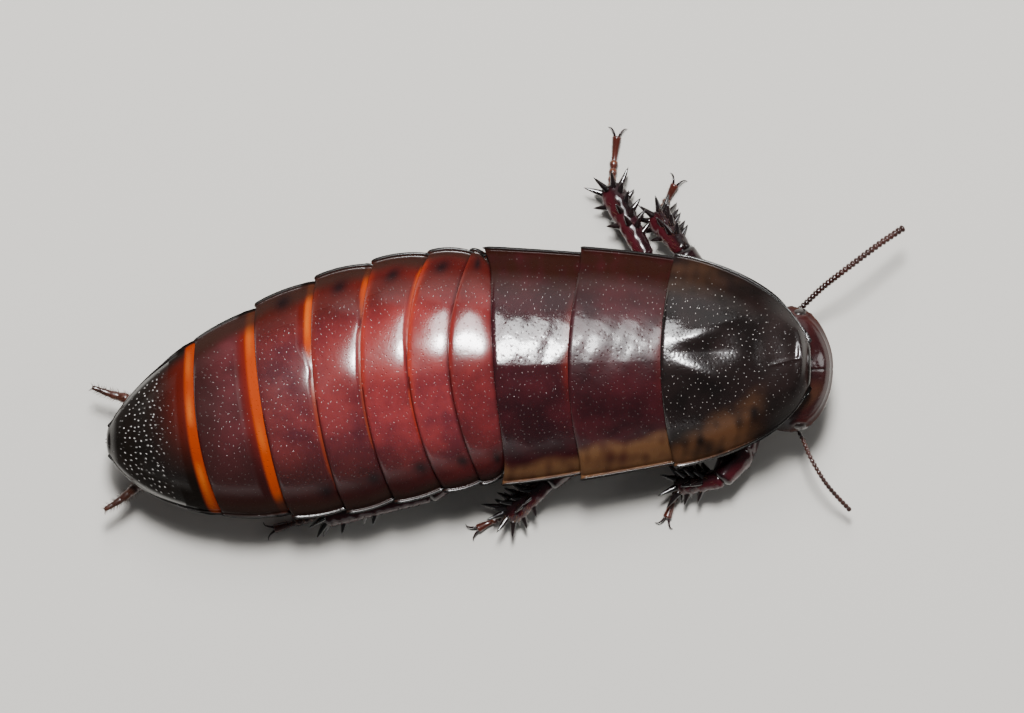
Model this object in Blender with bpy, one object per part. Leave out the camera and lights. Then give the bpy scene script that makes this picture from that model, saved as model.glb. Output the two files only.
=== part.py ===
"""Brown-hooded cockroach, a still, life-size model standing on its six feet.

The head looks along +X and the back faces +Z. Sizes at the top are in millimetres.
The body is laid out along a length s and across it by t, then swept along a midline
that drifts to the animal's right over the abdomen. The finished model is moved so that
the origin is at the centre of its box, on the floor.
"""

import math
import random

import bmesh
import bpy
import numpy as np
from mathutils import Matrix, Vector

MM = 0.001
GAP = 0.3  # left between pieces that meet

# The midline drifts sideways over the abdomen, and each ring turns by a share of its slope.
SIDE_DRIFT = 2.78
DRIFT_START = 0.5
DRIFT_LENGTH = 15.0
TURN_SHARE = 0.55
# Towards the head it lies a little to the left.
FRONT_DRIFT = 0.2
FRONT_LENGTH = 7.0

# The back is a dome over each plate, with a blunt side margin.
MARGIN = 0.5
DOME_POWER = 2.1
THORAX_DOME = 0.85
ABDOMEN_DOME = 0.72
POINTS_ACROSS = 21
PLATE_RINGS = 4

# The hood over the head: hind and front edge, width, and heights at the hind and front edge.
HOOD_REAR = 6.25
HOOD_FRONT = 11.88
HOOD_HALF_WIDTH = 4.0
HOOD_ROUNDING = (1.35, 0.44)
HOOD_BOW = 0.6
HOOD_SHIFT = 0.15  # how far the front's middle lies back towards the head's
HOOD_BACK = (6.10, 4.95)
HOOD_FALL = 2.4  # the back curves down to the front
HOOD_MARGIN = (3.35, 4.60)
HOOD_SHELL = 0.55
HOOD_HOLLOW = 9.2
# Lumps and hollows of the hood: place u along it, t across it, height, and reach along and across.
HOOD_LUMPS = [
    (0.17, 0.95, 0.20, 0.11, 0.62),
    (0.17, -0.95, 0.20, 0.11, 0.62),
    (0.34, 0.0, -0.16, 0.22, 0.22),
    (0.76, 0.0, -0.20, 0.13, 1.1),
    (0.95, 0.0, 0.10, 0.035, 0.9),
]
HOOD_STATIONS = [0.0, 0.18, 0.36, 0.5, 0.56, 0.68, 0.78, 0.86, 0.92, 0.96, 0.985, 0.998]

# Plates: hind s on the midline, then the bow, skew and drawn-back corners of the hind edge; half width at
# the front and hind edge, height of the back at the front and hind edge, and of the side margin there.
PLATES = {
    "mesonotum": (2.86, 0.72, 0.0, 0.23, 3.82, 4.34, 5.92, 6.12, 3.35, 3.40),
    "metanotum": (0.12, 0.38, -0.063, 0.39, 4.14, 4.46, 5.95, 6.06, 3.35, 3.35),
    "tergite_1": (-1.51, 1.05, 0.0, 0.0, 4.12, 4.40, 5.86, 5.95, 3.30, 3.28),
    "tergite_2": (-3.01, 0.93, 0.02, -0.15, 4.34, 4.50, 5.80, 5.90, 3.26, 3.25),
    "tergite_3": (-4.71, 0.76, 0.03, -0.04, 4.42, 4.55, 5.72, 5.82, 3.23, 3.21),
    "tergite_4": (-6.42, 0.46, 0.01, -0.12, 4.42, 4.46, 5.60, 5.68, 3.19, 3.16),
    "tergite_5": (-8.37, 0.25, -0.026, -0.15, 4.30, 4.08, 5.46, 5.48, 3.14, 3.10),
    "tergite_6": (-10.79, 0.35, -0.038, 0.0, 3.92, 3.34, 5.22, 5.00, 3.08, 3.00),
}
TAIL_TIP = -14.28
TAIL_HALF_WIDTH = 3.32
TAIL_ROUNDING = (1.25, 0.58)
TAIL_BACK = (4.76, 3.10)
TAIL_FALL = 1.7  # the back curves down to the tip
TAIL_MARGIN = (2.98, 2.72)
TAIL_STATIONS = [0.0, 0.2, 0.4, 0.58, 0.74, 0.86, 0.93, 0.97, 0.995]

# The underside.
TRUNK_HALF_WIDTH = 2.9
TRUNK_TAPER = 0.8
TRUNK_FLOOR = 1.75
STERNA = {
    "prosternum": (9.1, 6.35),
    "mesosternum": (6.05, 3.1),
    "metasternum": (2.8, 0.3),
}
BELLY_SHARE = 0.88
BELLY_DEPTH = (1.5, 1.8)
BELLY_SIDE = 0.75
BELLY_RIM = 0.25
TAIL_NARROWING = 0.45  # the last belly plate narrows to leave room for the cerci
BELLY_FRONT = 0.0

# The head hangs under the hood: height, middle, half depth and half width of each ring.
HEAD_RINGS = [
    (4.06, 11.2, 0.60, 0.80),
    (3.74, 11.2, 1.18, 1.45),
    (3.36, 11.15, 1.47, 1.98),
    (2.95, 11.1, 1.60, 2.30),
    (2.45, 11.0, 1.48, 2.24),
    (1.95, 10.75, 1.20, 1.86),
    (1.55, 10.5, 0.90, 1.36),
    (1.25, 10.35, 0.66, 1.02),
]
HEAD_SIDES = 20
EYE_CENTRE = (11.45, 2.06, 2.9)
EYE_HALF = (0.42, 0.32, 0.72)
MOUTH_TOP = 0.95
# Mouth pieces: middle (x, y), bottom, half thickness and half width. A jaw stands at each side.
LABRUM = (10.8, 0.0, 0.4, 0.2, 0.74)
JAW = (10.25, 0.5, 0.5, 0.22, 0.34)
LABIUM = (9.72, 0.0, 0.55, 0.18, 0.6)
PALP_ROUTE = [(10.35, 1.3, 0.8), (10.9, 1.6, 0.62), (11.5, 1.55, 0.5), (11.95, 1.2, 0.38)]
PALP_RADIUS = 0.25

# Feelers are strings of short beads, here two real beads to one.
ANTENNA_LEFT = [(11.4, 2.12, 2.0), (12.05, 2.7, 2.5), (13.2, 3.6, 3.1), (14.4, 4.5, 2.95), (15.36, 5.14, 2.6)]
ANTENNA_RIGHT = [(11.2, -2.3, 1.95), (11.95, -3.55, 2.3), (12.55, -4.45, 1.85), (13.43, -5.4, 1.1)]
ANTENNA_RADII = (0.24, 0.29)
BEAD_PITCH = 0.36
BEAD_WAIST = 0.86
ANTENNA_SIDES = 6

# Cerci, from under the tail plate to their tips.
CERCUS_LEFT = ((-13.5, -1.22, 1.8), (-14.1, -1.05, 1.8), (-14.8, -0.79, 1.85))
CERCUS_RIGHT = ((-13.15, -4.5, 1.8), (-13.7, -4.95, 1.8), (-14.35, -5.35, 1.8))
CERCUS_RADII = (0.27, 0.14)

# Leg joints: coxa root, coxa tip, knee, shin end and claw end.
LEGS = {
    "leg_fore_left": ((9.0, 0.95, 1.0), (8.1, 2.2, 0.95), (7.18, 4.29, 1.75), (6.29, 5.55, 0.65), (6.92, 6.8, 0.2)),
    "leg_mid_left": ((6.0, 0.95, 1.0), (4.7, 2.1, 0.95), (5.77, 4.1, 1.7), (4.51, 6.59, 0.65), (4.74, 8.6, 0.2)),
    "leg_hind_left": ((2.5, 0.95, 1.0), (0.9, 2.1, 0.95), (-2.2, 3.5, 1.2), (-6.4, 2.2, 0.65), (-8.2, 1.5, 0.2)),
    "leg_fore_right": ((8.9, -0.95, 1.0), (9.95, -2.15, 1.0), (8.6, -4.2, 1.7), (7.1, -4.35, 0.65), (6.6, -5.7, 0.2)),
    "leg_mid_right": ((5.9, -0.95, 1.0), (4.3, -2.1, 0.95), (2.15, -4.3, 1.65), (0.7, -5.5, 0.65), (-0.5, -6.1, 0.2)),
    "leg_hind_right": ((2.5, -0.95, 1.0), (0.7, -2.1, 0.95), (-2.3, -4.75, 1.55), (-6.3, -5.55, 0.65), (-8.1, -6.1, 0.2)),
}
COXA_RADII = (0.6, 0.66, 0.4)
COXA_FLAT = 0.75
FEMUR_RADII = (0.34, 0.54, 0.36)
TIBIA_RADII = (0.3, 0.36, 0.38)
TARSUS_RADII = (0.24, 0.26, 0.25)
TARSUS_SAG = 0.13  # lays the end half of each foot flat on the floor
LIMB_SIDES = 8
SPINE_SIDES = 4
SPINE_RADIUS = 0.2
SPINE_LENGTH = (0.6, 0.85)
SPINE_ROWS = 3
SPINES_IN_ROW = 3
SPUR_COUNT = 5
CLAW_LENGTH = 0.34
CLAW_RADIUS = 0.13
SEED = 7

COLOURS = {
    "hood_black": ("#1D1816", 0.22),
    "thorax_maroon": ("#3C171A", 0.24),
    "abdomen_red": ("#7A2F2E", 0.28),
    "tail_black": ("#17130F", 0.26),
    "underside_brown": ("#4A2017", 0.4),
    "head_chestnut": ("#3A1D18", 0.3),
    "eye_black": ("#0E0B0A", 0.15),
    "mouthparts_brown": ("#5A2A1A", 0.4),
    "feeler_brown": ("#3B1A12", 0.4),
    "leg_maroon": ("#2A1214", 0.28),
    "foot_red": ("#6B2A18", 0.35),
    "cercus_red": ("#7A3418", 0.4),
}


def clear_scene():
    for thing in list(bpy.data.objects):
        bpy.data.objects.remove(thing)


def channel(value):
    """One sRGB channel, 0 to 1, as linear light."""
    return value / 12.92 if value <= 0.04045 else ((value + 0.055) / 1.055) ** 2.4


def material(name):
    """A Principled material with this finish's colour and roughness."""
    found = bpy.data.materials.get(name)
    if found:
        return found
    code, roughness = COLOURS[name]
    made = bpy.data.materials.new(name)
    made.use_nodes = True
    shader = made.node_tree.nodes["Principled BSDF"]
    levels = [channel(int(code[i:i + 2], 16) / 255) for i in (1, 3, 5)]
    shader.inputs["Base Color"].default_value = (*levels, 1)
    shader.inputs["Roughness"].default_value = roughness
    shader.inputs["Metallic"].default_value = 0.0
    return made


def midline(s):
    """Sideways place of the midline at s, and the turn of the ring there."""
    u = np.clip((DRIFT_START - np.asarray(s, float)) / DRIFT_LENGTH, 0, 1)
    slope = SIDE_DRIFT / DRIFT_LENGTH * 6 * u * (1 - u)
    v = np.clip(np.asarray(s, float) / FRONT_LENGTH, 0, 1)
    return FRONT_DRIFT * v * v * (3 - 2 * v) - SIDE_DRIFT * u * u * (3 - 2 * u), TURN_SHARE * np.arctan(slope)


def place(s, t, z):
    """Body coordinates to points in space, in metres."""
    s, t, z = np.broadcast_arrays(s, t, z)
    side, turn = midline(s)
    return np.stack([s - t * np.sin(turn), side + t * np.cos(turn), z], -1) * MM


def add_object(name, points, faces, finish):
    """A mesh object from points in metres, its faces turned outwards and smooth."""
    mesh = bpy.data.meshes.new(name)
    mesh.from_pydata([tuple(p) for p in points], [], [tuple(f) for f in faces])
    shape = bmesh.new()
    shape.from_mesh(mesh)
    bmesh.ops.remove_doubles(shape, verts=shape.verts, dist=1e-7)
    bmesh.ops.recalc_face_normals(shape, faces=shape.faces)
    bmesh.ops.triangulate(shape, faces=shape.faces)
    shape.to_mesh(mesh)
    shape.free()
    thing = bpy.data.objects.new(name, mesh)
    bpy.context.scene.collection.objects.link(thing)
    mesh.materials.append(material(finish))
    mesh.shade_smooth()
    mesh.set_sharp_from_angle(angle=math.radians(35))
    return thing


def grid_faces(rows, columns, start=0, closed=False):
    """Quads of a grid of points, joined round its columns if closed."""
    faces = []
    for i in range(rows - 1):
        for j in range(columns if closed else columns - 1):
            k = (j + 1) % columns
            faces.append((start + i * columns + j, start + i * columns + k,
                          start + (i + 1) * columns + k, start + (i + 1) * columns + j))
    return faces


def slab(name, top, bottom, finish):
    """A closed body between two grids of points of the same size, with walls round the rim."""
    rows, columns = top.shape[:2]
    count = rows * columns
    points = np.concatenate([top.reshape(-1, 3), bottom.reshape(-1, 3)])
    faces = grid_faces(rows, columns) + grid_faces(rows, columns, count)
    rim = [j for j in range(columns)]
    rim += [i * columns + columns - 1 for i in range(1, rows)]
    rim += [(rows - 1) * columns + j for j in range(columns - 2, -1, -1)]
    rim += [i * columns for i in range(rows - 2, 0, -1)]
    for a, b in zip(rim, rim[1:] + rim[:1]):
        faces.append((a, b, count + b, count + a))
    return add_object(name, points, faces, finish)


def tube_rings(path, radii, sides, flat=1.0, floor=0.0, ceiling=9.0):
    """Rings of a tube round a path: each is an upright ellipse, clamped between floor and ceiling."""
    path = np.array(path, float)
    ahead = np.gradient(path, axis=0)
    ahead /= np.linalg.norm(ahead, axis=1, keepdims=True)
    across = np.cross(ahead, (0, 0, 1))
    across /= np.linalg.norm(across, axis=1, keepdims=True)
    up = np.cross(across, ahead)
    angle = (np.arange(sides) + 0.5) * 2 * np.pi / sides
    radii = np.asarray(radii, float)[:, None, None]
    ring = np.cos(angle)[None, :, None] * across[:, None] + flat * np.sin(angle)[None, :, None] * up[:, None]
    points = path[:, None] + radii * ring
    points[..., 2] = np.clip(points[..., 2], floor, ceiling)
    return points


def tube(name, rings, finish):
    """A closed tube through rings of points in millimetres, with a flat face at each end."""
    rows, columns = rings.shape[:2]
    faces = grid_faces(rows, columns, closed=True)
    faces.append(tuple(range(columns)))
    faces.append(tuple((rows - 1) * columns + j for j in range(columns)))
    return add_object(name, rings.reshape(-1, 3) * MM, faces, finish)


def spike(root, tip, radius):
    """A thin cone from root to tip, both in millimetres."""
    root, tip = np.array(root, float), np.array(tip, float)
    ahead = (tip - root) / np.linalg.norm(tip - root)
    side = np.cross(ahead, (0.31, 0.11, 0.94))
    side /= np.linalg.norm(side)
    other = np.cross(ahead, side)
    angle = np.arange(SPINE_SIDES) * 2 * np.pi / SPINE_SIDES
    ring = root + radius * (np.cos(angle)[:, None] * side + np.sin(angle)[:, None] * other)
    points = np.vstack([ring, tip]) * MM
    faces = [(j, (j + 1) % SPINE_SIDES, SPINE_SIDES) for j in range(SPINE_SIDES)]
    faces.append(tuple(range(SPINE_SIDES)))
    return add_object("spike", points, faces, "leg_maroon")


def keep_largest(shape):
    """Only the closed surface that holds the most stays in this bmesh."""
    left = set(shape.verts)
    islands = []
    while left:
        stack = [left.pop()]
        island = set(stack)
        while stack:
            for edge in stack.pop().link_edges:
                for vert in edge.verts:
                    if vert in left:
                        left.discard(vert)
                        island.add(vert)
                        stack.append(vert)
        islands.append(island)
    if len(islands) > 1:
        def spread(island):
            places = np.array([v.co for v in island])
            return float(np.prod(places.max(0) - places.min(0)))
        biggest = max(islands, key=spread)
        bmesh.ops.delete(shape, geom=[v for v in shape.verts if v not in biggest], context="VERTS")


def boolean(base, others, operation, solver="EXACT"):
    """Join others to base, or cut them from it, and drop them."""
    group = bpy.data.collections.new("operands")
    bpy.context.scene.collection.children.link(group)
    for other in others:
        group.objects.link(other)
    modifier = base.modifiers.new("boolean", "BOOLEAN")
    modifier.operation = operation
    modifier.operand_type = "COLLECTION"
    modifier.collection = group
    modifier.solver = solver
    ready = base.evaluated_get(bpy.context.evaluated_depsgraph_get())
    mesh = bpy.data.meshes.new_from_object(ready)
    base.modifiers.clear()
    base.data = mesh
    for other in others:
        bpy.data.objects.remove(other)
    bpy.data.collections.remove(group)
    shape = bmesh.new()
    shape.from_mesh(mesh)
    bmesh.ops.remove_doubles(shape, verts=shape.verts, dist=2e-6)
    keep_largest(shape)
    bmesh.ops.triangulate(shape, faces=shape.faces)
    shape.to_mesh(mesh)
    shape.free()
    mesh.set_sharp_from_angle(angle=math.radians(35))
    return base


def dome(t, half_width, margin, back, rounding):
    """Height of the back at t: the margin at the sides, the full back on the midline."""
    rise = np.clip(1 - np.abs(t / half_width) ** DOME_POWER, 0, 1) ** rounding
    return margin + (back - margin) * rise


def across_points():
    """Places across a plate, from one side to the other, closer together near the sides."""
    return np.sin(np.linspace(-np.pi / 2, np.pi / 2, POINTS_ACROSS))


def plate_layout():
    """Front and hind edges of every plate, with a gap left in front of each."""
    layout = {}
    front = (HOOD_REAR, HOOD_BOW, 0.0, 0.0)
    for name, (*rear, wide_front, wide_rear, back_front, back_rear, low_front, low_rear) in PLATES.items():
        start = (front[0] - GAP, *front[1:])
        layout[name] = (start, rear, wide_front, wide_rear, back_front, back_rear, low_front, low_rear)
        front = rear
    return layout


def edge_place(edge, t, q):
    """Where an edge runs: bowed as q squared, skewed as t, and drawn back in the last part of each side."""
    middle, bow, skew, corner = edge
    return middle + bow * q * q + skew * t - corner * q ** 8


def make_plate(name, sizes, rounding, finish):
    """One plate of the back, its hind edge a little wider and higher than the next one's front."""
    front, rear, wide_front, wide_rear, back_front, back_rear, low_front, low_rear = sizes
    u = np.linspace(0, 1, PLATE_RINGS)[:, None]
    q = across_points()[None, :]
    half = wide_front + (wide_rear - wide_front) * u
    t = half * q
    s = (1 - u) * edge_place(front, t, q) + u * edge_place(rear, t, q)
    low = low_front + (low_rear - low_front) * u
    high = dome(t, half, low, back_front + (back_rear - back_front) * u, rounding)
    return slab(name, place(s, t, high), place(s, t, low - MARGIN + 0 * q), finish)


def hood_relief(u, t):
    """The lumps and hollows of the hood, each a bell curve both ways."""
    rise = 0 * (u + t)
    for along, across, height, reach, width in HOOD_LUMPS:
        rise = rise + height * np.exp(-((u - along) / reach) ** 2 - ((t - across) / width) ** 2)
    return rise


def make_hood():
    """The shield over the head: blunt in front, hollow below there for the head."""
    u = np.array(HOOD_STATIONS)[:, None]
    q = across_points()[None, :]
    power, rounding = HOOD_ROUNDING
    half = HOOD_HALF_WIDTH * (1 - u ** power) ** rounding
    s = HOOD_REAR + (HOOD_FRONT - HOOD_REAR) * u + HOOD_BOW * (1 - u) * q * q
    low = HOOD_MARGIN[0] + (HOOD_MARGIN[1] - HOOD_MARGIN[0]) * u * u
    back = HOOD_BACK[0] + (HOOD_BACK[1] - HOOD_BACK[0]) * u ** HOOD_FALL
    high = dome(half * q, half, low, back, THORAX_DOME) + hood_relief(u, half * q) * (1 - q * q)
    under = np.where(s > HOOD_HOLLOW, np.maximum(high - HOOD_SHELL, low - MARGIN), low - MARGIN)
    under = np.where(np.abs(q) > 0.99, low - MARGIN, under)
    t = half * q - HOOD_SHIFT * u * u
    return slab("pronotum", place(s, t, high), place(s, t, under), "hood_black")


def make_tail():
    """The last plate of the back, narrowing to a round tip."""
    edge = PLATES["tergite_6"][:4]
    front = edge[0] - GAP
    u = np.array(TAIL_STATIONS)[:, None]
    q = across_points()[None, :]
    power, rounding = TAIL_ROUNDING
    half = TAIL_HALF_WIDTH * (1 - u ** power) ** rounding
    s = front + (TAIL_TIP - front) * u + (edge_place(edge, half * q, q) - edge[0]) * (1 - u)
    low = TAIL_MARGIN[0] + (TAIL_MARGIN[1] - TAIL_MARGIN[0]) * u
    back = TAIL_BACK[0] + (TAIL_BACK[1] - TAIL_BACK[0]) * u ** TAIL_FALL
    high = dome(half * q, half, low, back, ABDOMEN_DOME)
    return slab("tergite_7", place(s, half * q, high), place(s, half * q, low - MARGIN + 0 * q), "tail_black")


def make_sterna():
    """The chest, three blocks whose sides slope in to a flat floor."""
    for name, (front, rear) in STERNA.items():
        u = np.linspace(0, 1, 3)[:, None]
        q = np.linspace(-1, 1, 9)[None, :]
        s = front + (rear - front) * u + 0 * q
        top = HOOD_MARGIN[0] - MARGIN - GAP + 0 * s
        side = np.abs(q) ** 4
        floor = TRUNK_FLOOR + (HOOD_MARGIN[0] - MARGIN - GAP - 0.35 - TRUNK_FLOOR) * side + 0 * u
        slab(name, place(s, TRUNK_HALF_WIDTH * q, top),
             place(s, TRUNK_HALF_WIDTH * q, floor), "underside_brown")


def make_sternites(layout):
    """The belly plates, each under a back plate, rounded below."""
    names = ["tergite_%d" % i for i in range(1, 7)]
    for index, name in enumerate(names):
        (front, *_), (rear, *_), wide_front, wide_rear, _, _, low_front, low_rear = layout[name]
        if index == 0:
            front = BELLY_FRONT
        u = np.linspace(0, 1, 3)[:, None]
        q = np.linspace(-1, 1, 13)[None, :]
        half = BELLY_SHARE * (wide_front + (wide_rear - wide_front) * u)
        s = front + (rear - front) * u + 0 * q
        top = low_front + (low_rear - low_front) * u - MARGIN - GAP
        depth = BELLY_DEPTH[0] + (BELLY_DEPTH[1] - BELLY_DEPTH[0]) * index / len(names)
        floor = np.minimum(depth + BELLY_SIDE * q * q, top - BELLY_RIM)
        slab("sternite_%d" % (index + 1), place(s, half * q, top), place(s, half * q, floor), "underside_brown")
    front = PLATES["tergite_6"][0] - GAP
    u = np.array(TAIL_STATIONS[:-3])[:, None]
    q = np.linspace(-1, 1, 13)[None, :]
    share = BELLY_SHARE - TAIL_NARROWING * u
    half = share * TAIL_HALF_WIDTH * (1 - u ** TAIL_ROUNDING[0]) ** TAIL_ROUNDING[1]
    s = front + (TAIL_TIP - front) * u * 0.86 + 0 * q
    top = TAIL_MARGIN[0] + (TAIL_MARGIN[1] - TAIL_MARGIN[0]) * u - MARGIN - GAP
    floor = BELLY_DEPTH[1] + 0.25 * u + 0.3 * q * q
    slab("sternite_7", place(s, half * q, top), place(s, half * q, np.minimum(floor, top - BELLY_RIM)), "underside_brown")


def make_eye(name, side, grow=0.0):
    """An upright oval eye."""
    rows, columns = 9, 14
    polar = np.linspace(0.12, np.pi - 0.12, rows)[:, None]
    round_ = np.linspace(0, 2 * np.pi, columns, endpoint=False)[None, :]
    half = np.array(EYE_HALF) + grow
    centre = np.array(EYE_CENTRE) * (1, side, 1)
    rings = np.stack([half[0] * np.sin(polar) * np.cos(round_), half[1] * np.sin(polar) * np.sin(round_),
                      half[2] * np.cos(polar) + 0 * round_], -1) + centre
    return tube(name, rings, "eye_black")


def mouth_piece(name, sizes, side):
    """One piece of the mouth, an upright plate with an oval section that narrows downwards."""
    x, y, bottom, thick, wide = sizes
    angle = np.arange(12) * 2 * np.pi / 12
    height = np.linspace(MOUTH_TOP, bottom, 4)[:, None]
    scale = np.array([1.0, 1.0, 0.85, 0.5])[:, None]
    rings = np.stack([x + scale * thick * np.cos(angle), side * y + scale * wide * np.sin(angle),
                      height + 0 * angle], -1)
    tube(name, rings, "mouthparts_brown")


def make_head():
    """The head capsule, rings stacked from crown to mouth, with a socket cut for each eye."""
    angle = np.arange(HEAD_SIDES) * 2 * np.pi / HEAD_SIDES
    rings = [np.stack([x + depth * np.cos(angle), width * np.sin(angle), z + 0 * angle], -1)
             for z, x, depth, width in HEAD_RINGS]
    head = tube("head", np.array(rings), "head_chestnut")
    boolean(head, [make_eye("cutter", side, GAP) for side in (1, -1)], "DIFFERENCE")
    mouth_piece("labrum", LABRUM, 1)
    mouth_piece("labium", LABIUM, 1)
    for side, word in ((1, "left"), (-1, "right")):
        make_eye("eye_" + word, side)
        mouth_piece("mandible_" + word, JAW, side)
        route = smooth_route(np.array(PALP_ROUTE) * (1, side, 1), 0.3)
        radii = np.full(len(route), PALP_RADIUS)
        radii[-1] = PALP_RADIUS / 2
        tube("palp_" + word, tube_rings(route, radii, 6), "mouthparts_brown")


def smooth_route(points, pitch):
    """A smooth path through points, sampled about every pitch (Catmull-Rom)."""
    points = np.array(points, float)
    ends = np.vstack([2 * points[0] - points[1], points, 2 * points[-1] - points[-2]])
    path = [points[0]]
    for a, b, c, d in zip(ends, ends[1:], ends[2:], ends[3:]):
        steps = max(2, int(round(np.linalg.norm(c - b) / pitch)))
        for k in range(1, steps + 1):
            u = k / steps
            path.append(0.5 * (2 * b + (c - a) * u + (2 * a - 5 * b + 4 * c - d) * u * u
                               + (3 * b - a - 3 * c + d) * u ** 3))
    return np.array(path)


def make_feelers():
    """Feelers: tubes that swell and pinch from bead to bead."""
    for name, route in (("antenna_left", ANTENNA_LEFT), ("antenna_right", ANTENNA_RIGHT)):
        path = smooth_route(route, BEAD_PITCH / 2)
        radii = np.linspace(*ANTENNA_RADII, len(path))
        radii[1::2] *= BEAD_WAIST
        radii[-1] = 0.14
        tube(name, tube_rings(path, radii, ANTENNA_SIDES), "feeler_brown")
    for name, route in (("cercus_left", CERCUS_LEFT), ("cercus_right", CERCUS_RIGHT)):
        path = smooth_route(route, 0.4)
        tube(name, tube_rings(path, np.linspace(*CERCUS_RADII, len(path)), 6), "cercus_red")


def cut_ring(ring, ahead, joint, normal):
    """Slide a ring's points along its limb until they lie on the plane through joint."""
    shift = (joint - ring) @ normal / (ahead @ normal)
    return ring + shift[:, None] * ahead


def limb(name, joints, index, radii, finish, flat=1.0, sag=0.0, ceiling=9.0):
    """One length of a leg, cut at each end halfway through the bend, with half a gap there."""
    a, b = joints[index], joints[index + 1]
    ahead = (b - a) / np.linalg.norm(b - a)
    path = np.array([a + ahead * 0.05, a + (b - a) * 0.35, a + (b - a) * 0.7, b - ahead * 0.05])
    path[1:3, 2] -= sag
    middle = (radii[0] + 2 * radii[1]) / 3
    rings = tube_rings(path, [radii[0], middle, radii[1], radii[2]], LIMB_SIDES, flat, 0.0, ceiling)
    for row, joint, other, way in ((0, a, index - 1, 1), (-1, b, index + 1, -1)):
        if 0 <= other < len(joints) - 1:
            next_way = joints[other + 1] - joints[other]
            normal = ahead + next_way / np.linalg.norm(next_way)
        else:
            normal = ahead
        normal = normal / np.linalg.norm(normal)
        rings[row] = cut_ring(rings[row], ahead, joint + way * normal * GAP / 2, normal)
    rings[..., 2] = np.maximum(rings[..., 2], 0)
    return tube(name, rings, finish)


def leg_spines(a, b, draw):
    """Thorns along a shin in rows down its outer, inner and lower sides, and a crown of spurs at its end."""
    ahead = (b - a) / np.linalg.norm(b - a)
    across = np.cross(ahead, (0, 0, 1))
    across /= np.linalg.norm(across)
    up = np.cross(across, ahead)
    length = np.linalg.norm(b - a)
    pieces = []
    for row in range(SPINE_ROWS):
        turn = math.radians(10 + 80 * row)
        out = math.cos(turn) * across + math.sin(turn) * up
        for k in range(SPINES_IN_ROW):
            along = length * (0.3 + 0.42 * k / (SPINES_IN_ROW - 1)) + draw.uniform(-0.05, 0.05) + 0.12 * row
            root = a + ahead * along + out * 0.1
            reach = draw.uniform(*SPINE_LENGTH)
            pieces.append(spike(root, root + (out * 0.8 + ahead * 0.6) * (reach + 0.2), SPINE_RADIUS))
    for k in range(SPUR_COUNT):
        turn = math.radians(-20 + 220 * k / (SPUR_COUNT - 1))
        out = math.cos(turn) * across + math.sin(turn) * up
        root = b - ahead * 0.5 + out * 0.1
        reach = draw.uniform(*SPINE_LENGTH)
        pieces.append(spike(root, root + (out * 0.85 + ahead * 0.5) * (reach + 0.1), SPINE_RADIUS))
    return pieces


def make_legs():
    draw = random.Random(SEED)
    for name, joints in LEGS.items():
        joints = [np.array(j, float) for j in joints]
        limb(name + "_coxa", joints, 0, COXA_RADII, "leg_maroon", COXA_FLAT, ceiling=TRUNK_FLOOR - GAP)
        limb(name + "_femur", joints, 1, FEMUR_RADII, "leg_maroon", flat=1.1)
        tibia = limb(name + "_tibia", joints, 2, TIBIA_RADII, "leg_maroon")
        boolean(tibia, leg_spines(joints[2], joints[3], draw), "UNION")
        tarsus = limb(name + "_tarsus", joints, 3, TARSUS_RADII, "foot_red", sag=TARSUS_SAG)
        ahead = joints[4] - joints[3]
        ahead[2] = 0
        ahead /= np.linalg.norm(ahead)
        across = np.array((-ahead[1], ahead[0], 0))
        claws = [spike(joints[4] - ahead * 0.35 + across * side * 0.06,
                       joints[4] + ahead * CLAW_LENGTH * 0.8 + across * side * CLAW_LENGTH * 0.6 + (0, 0, -0.08),
                       CLAW_RADIUS) for side in (1, -1)]
        boolean(tarsus, claws, "UNION")


def centre_on_floor():
    """Move every mesh so that the origin is at the bottom centre of the whole box."""
    points = np.concatenate([[v.co for v in thing.data.vertices] for thing in bpy.data.objects])
    low, high = points.min(0), points.max(0)
    shift = Vector((-(low[0] + high[0]) / 2, -(low[1] + high[1]) / 2, -low[2]))
    for thing in bpy.data.objects:
        thing.data.transform(Matrix.Translation(shift))
    print("shift in millimetres", [round(v / MM, 4) for v in shift])


def main():
    clear_scene()
    layout = plate_layout()
    make_hood()
    for name, sizes in layout.items():
        thorax = name in ("mesonotum", "metanotum")
        make_plate(name, sizes, THORAX_DOME if thorax else ABDOMEN_DOME,
                   "thorax_maroon" if thorax else "abdomen_red")
    make_tail()
    make_sterna()
    make_sternites(layout)
    make_head()
    make_feelers()
    make_legs()
    centre_on_floor()


main()
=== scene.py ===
"""Finished look of the brown-hooded cockroach: back plates, skin, head, feelers, legs and hairs.

Shapes are worked out in millimetres in body coordinates: s along the body towards the head,
t across it towards the animal's left, z up. They are then laid along the bent midline and
moved to the frame, whose origin is the bottom centre of the whole model.
"""

import math

import bpy
import numpy as np
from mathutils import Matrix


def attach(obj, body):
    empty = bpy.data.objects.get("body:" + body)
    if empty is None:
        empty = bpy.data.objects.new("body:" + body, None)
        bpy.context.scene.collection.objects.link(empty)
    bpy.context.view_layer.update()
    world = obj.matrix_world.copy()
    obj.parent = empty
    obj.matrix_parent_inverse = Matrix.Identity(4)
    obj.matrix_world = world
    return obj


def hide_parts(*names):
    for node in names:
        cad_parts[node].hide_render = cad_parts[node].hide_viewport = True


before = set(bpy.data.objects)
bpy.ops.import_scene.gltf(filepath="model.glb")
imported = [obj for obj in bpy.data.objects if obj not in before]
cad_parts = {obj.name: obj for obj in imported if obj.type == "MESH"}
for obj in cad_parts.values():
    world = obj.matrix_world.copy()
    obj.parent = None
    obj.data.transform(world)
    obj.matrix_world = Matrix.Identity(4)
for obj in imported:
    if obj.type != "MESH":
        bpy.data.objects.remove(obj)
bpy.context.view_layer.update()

MM = 0.001
ORIGIN = np.array((-0.2983, -1.2447, 0.0))  # body coordinates' zero, seen from the frame's origin

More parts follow.
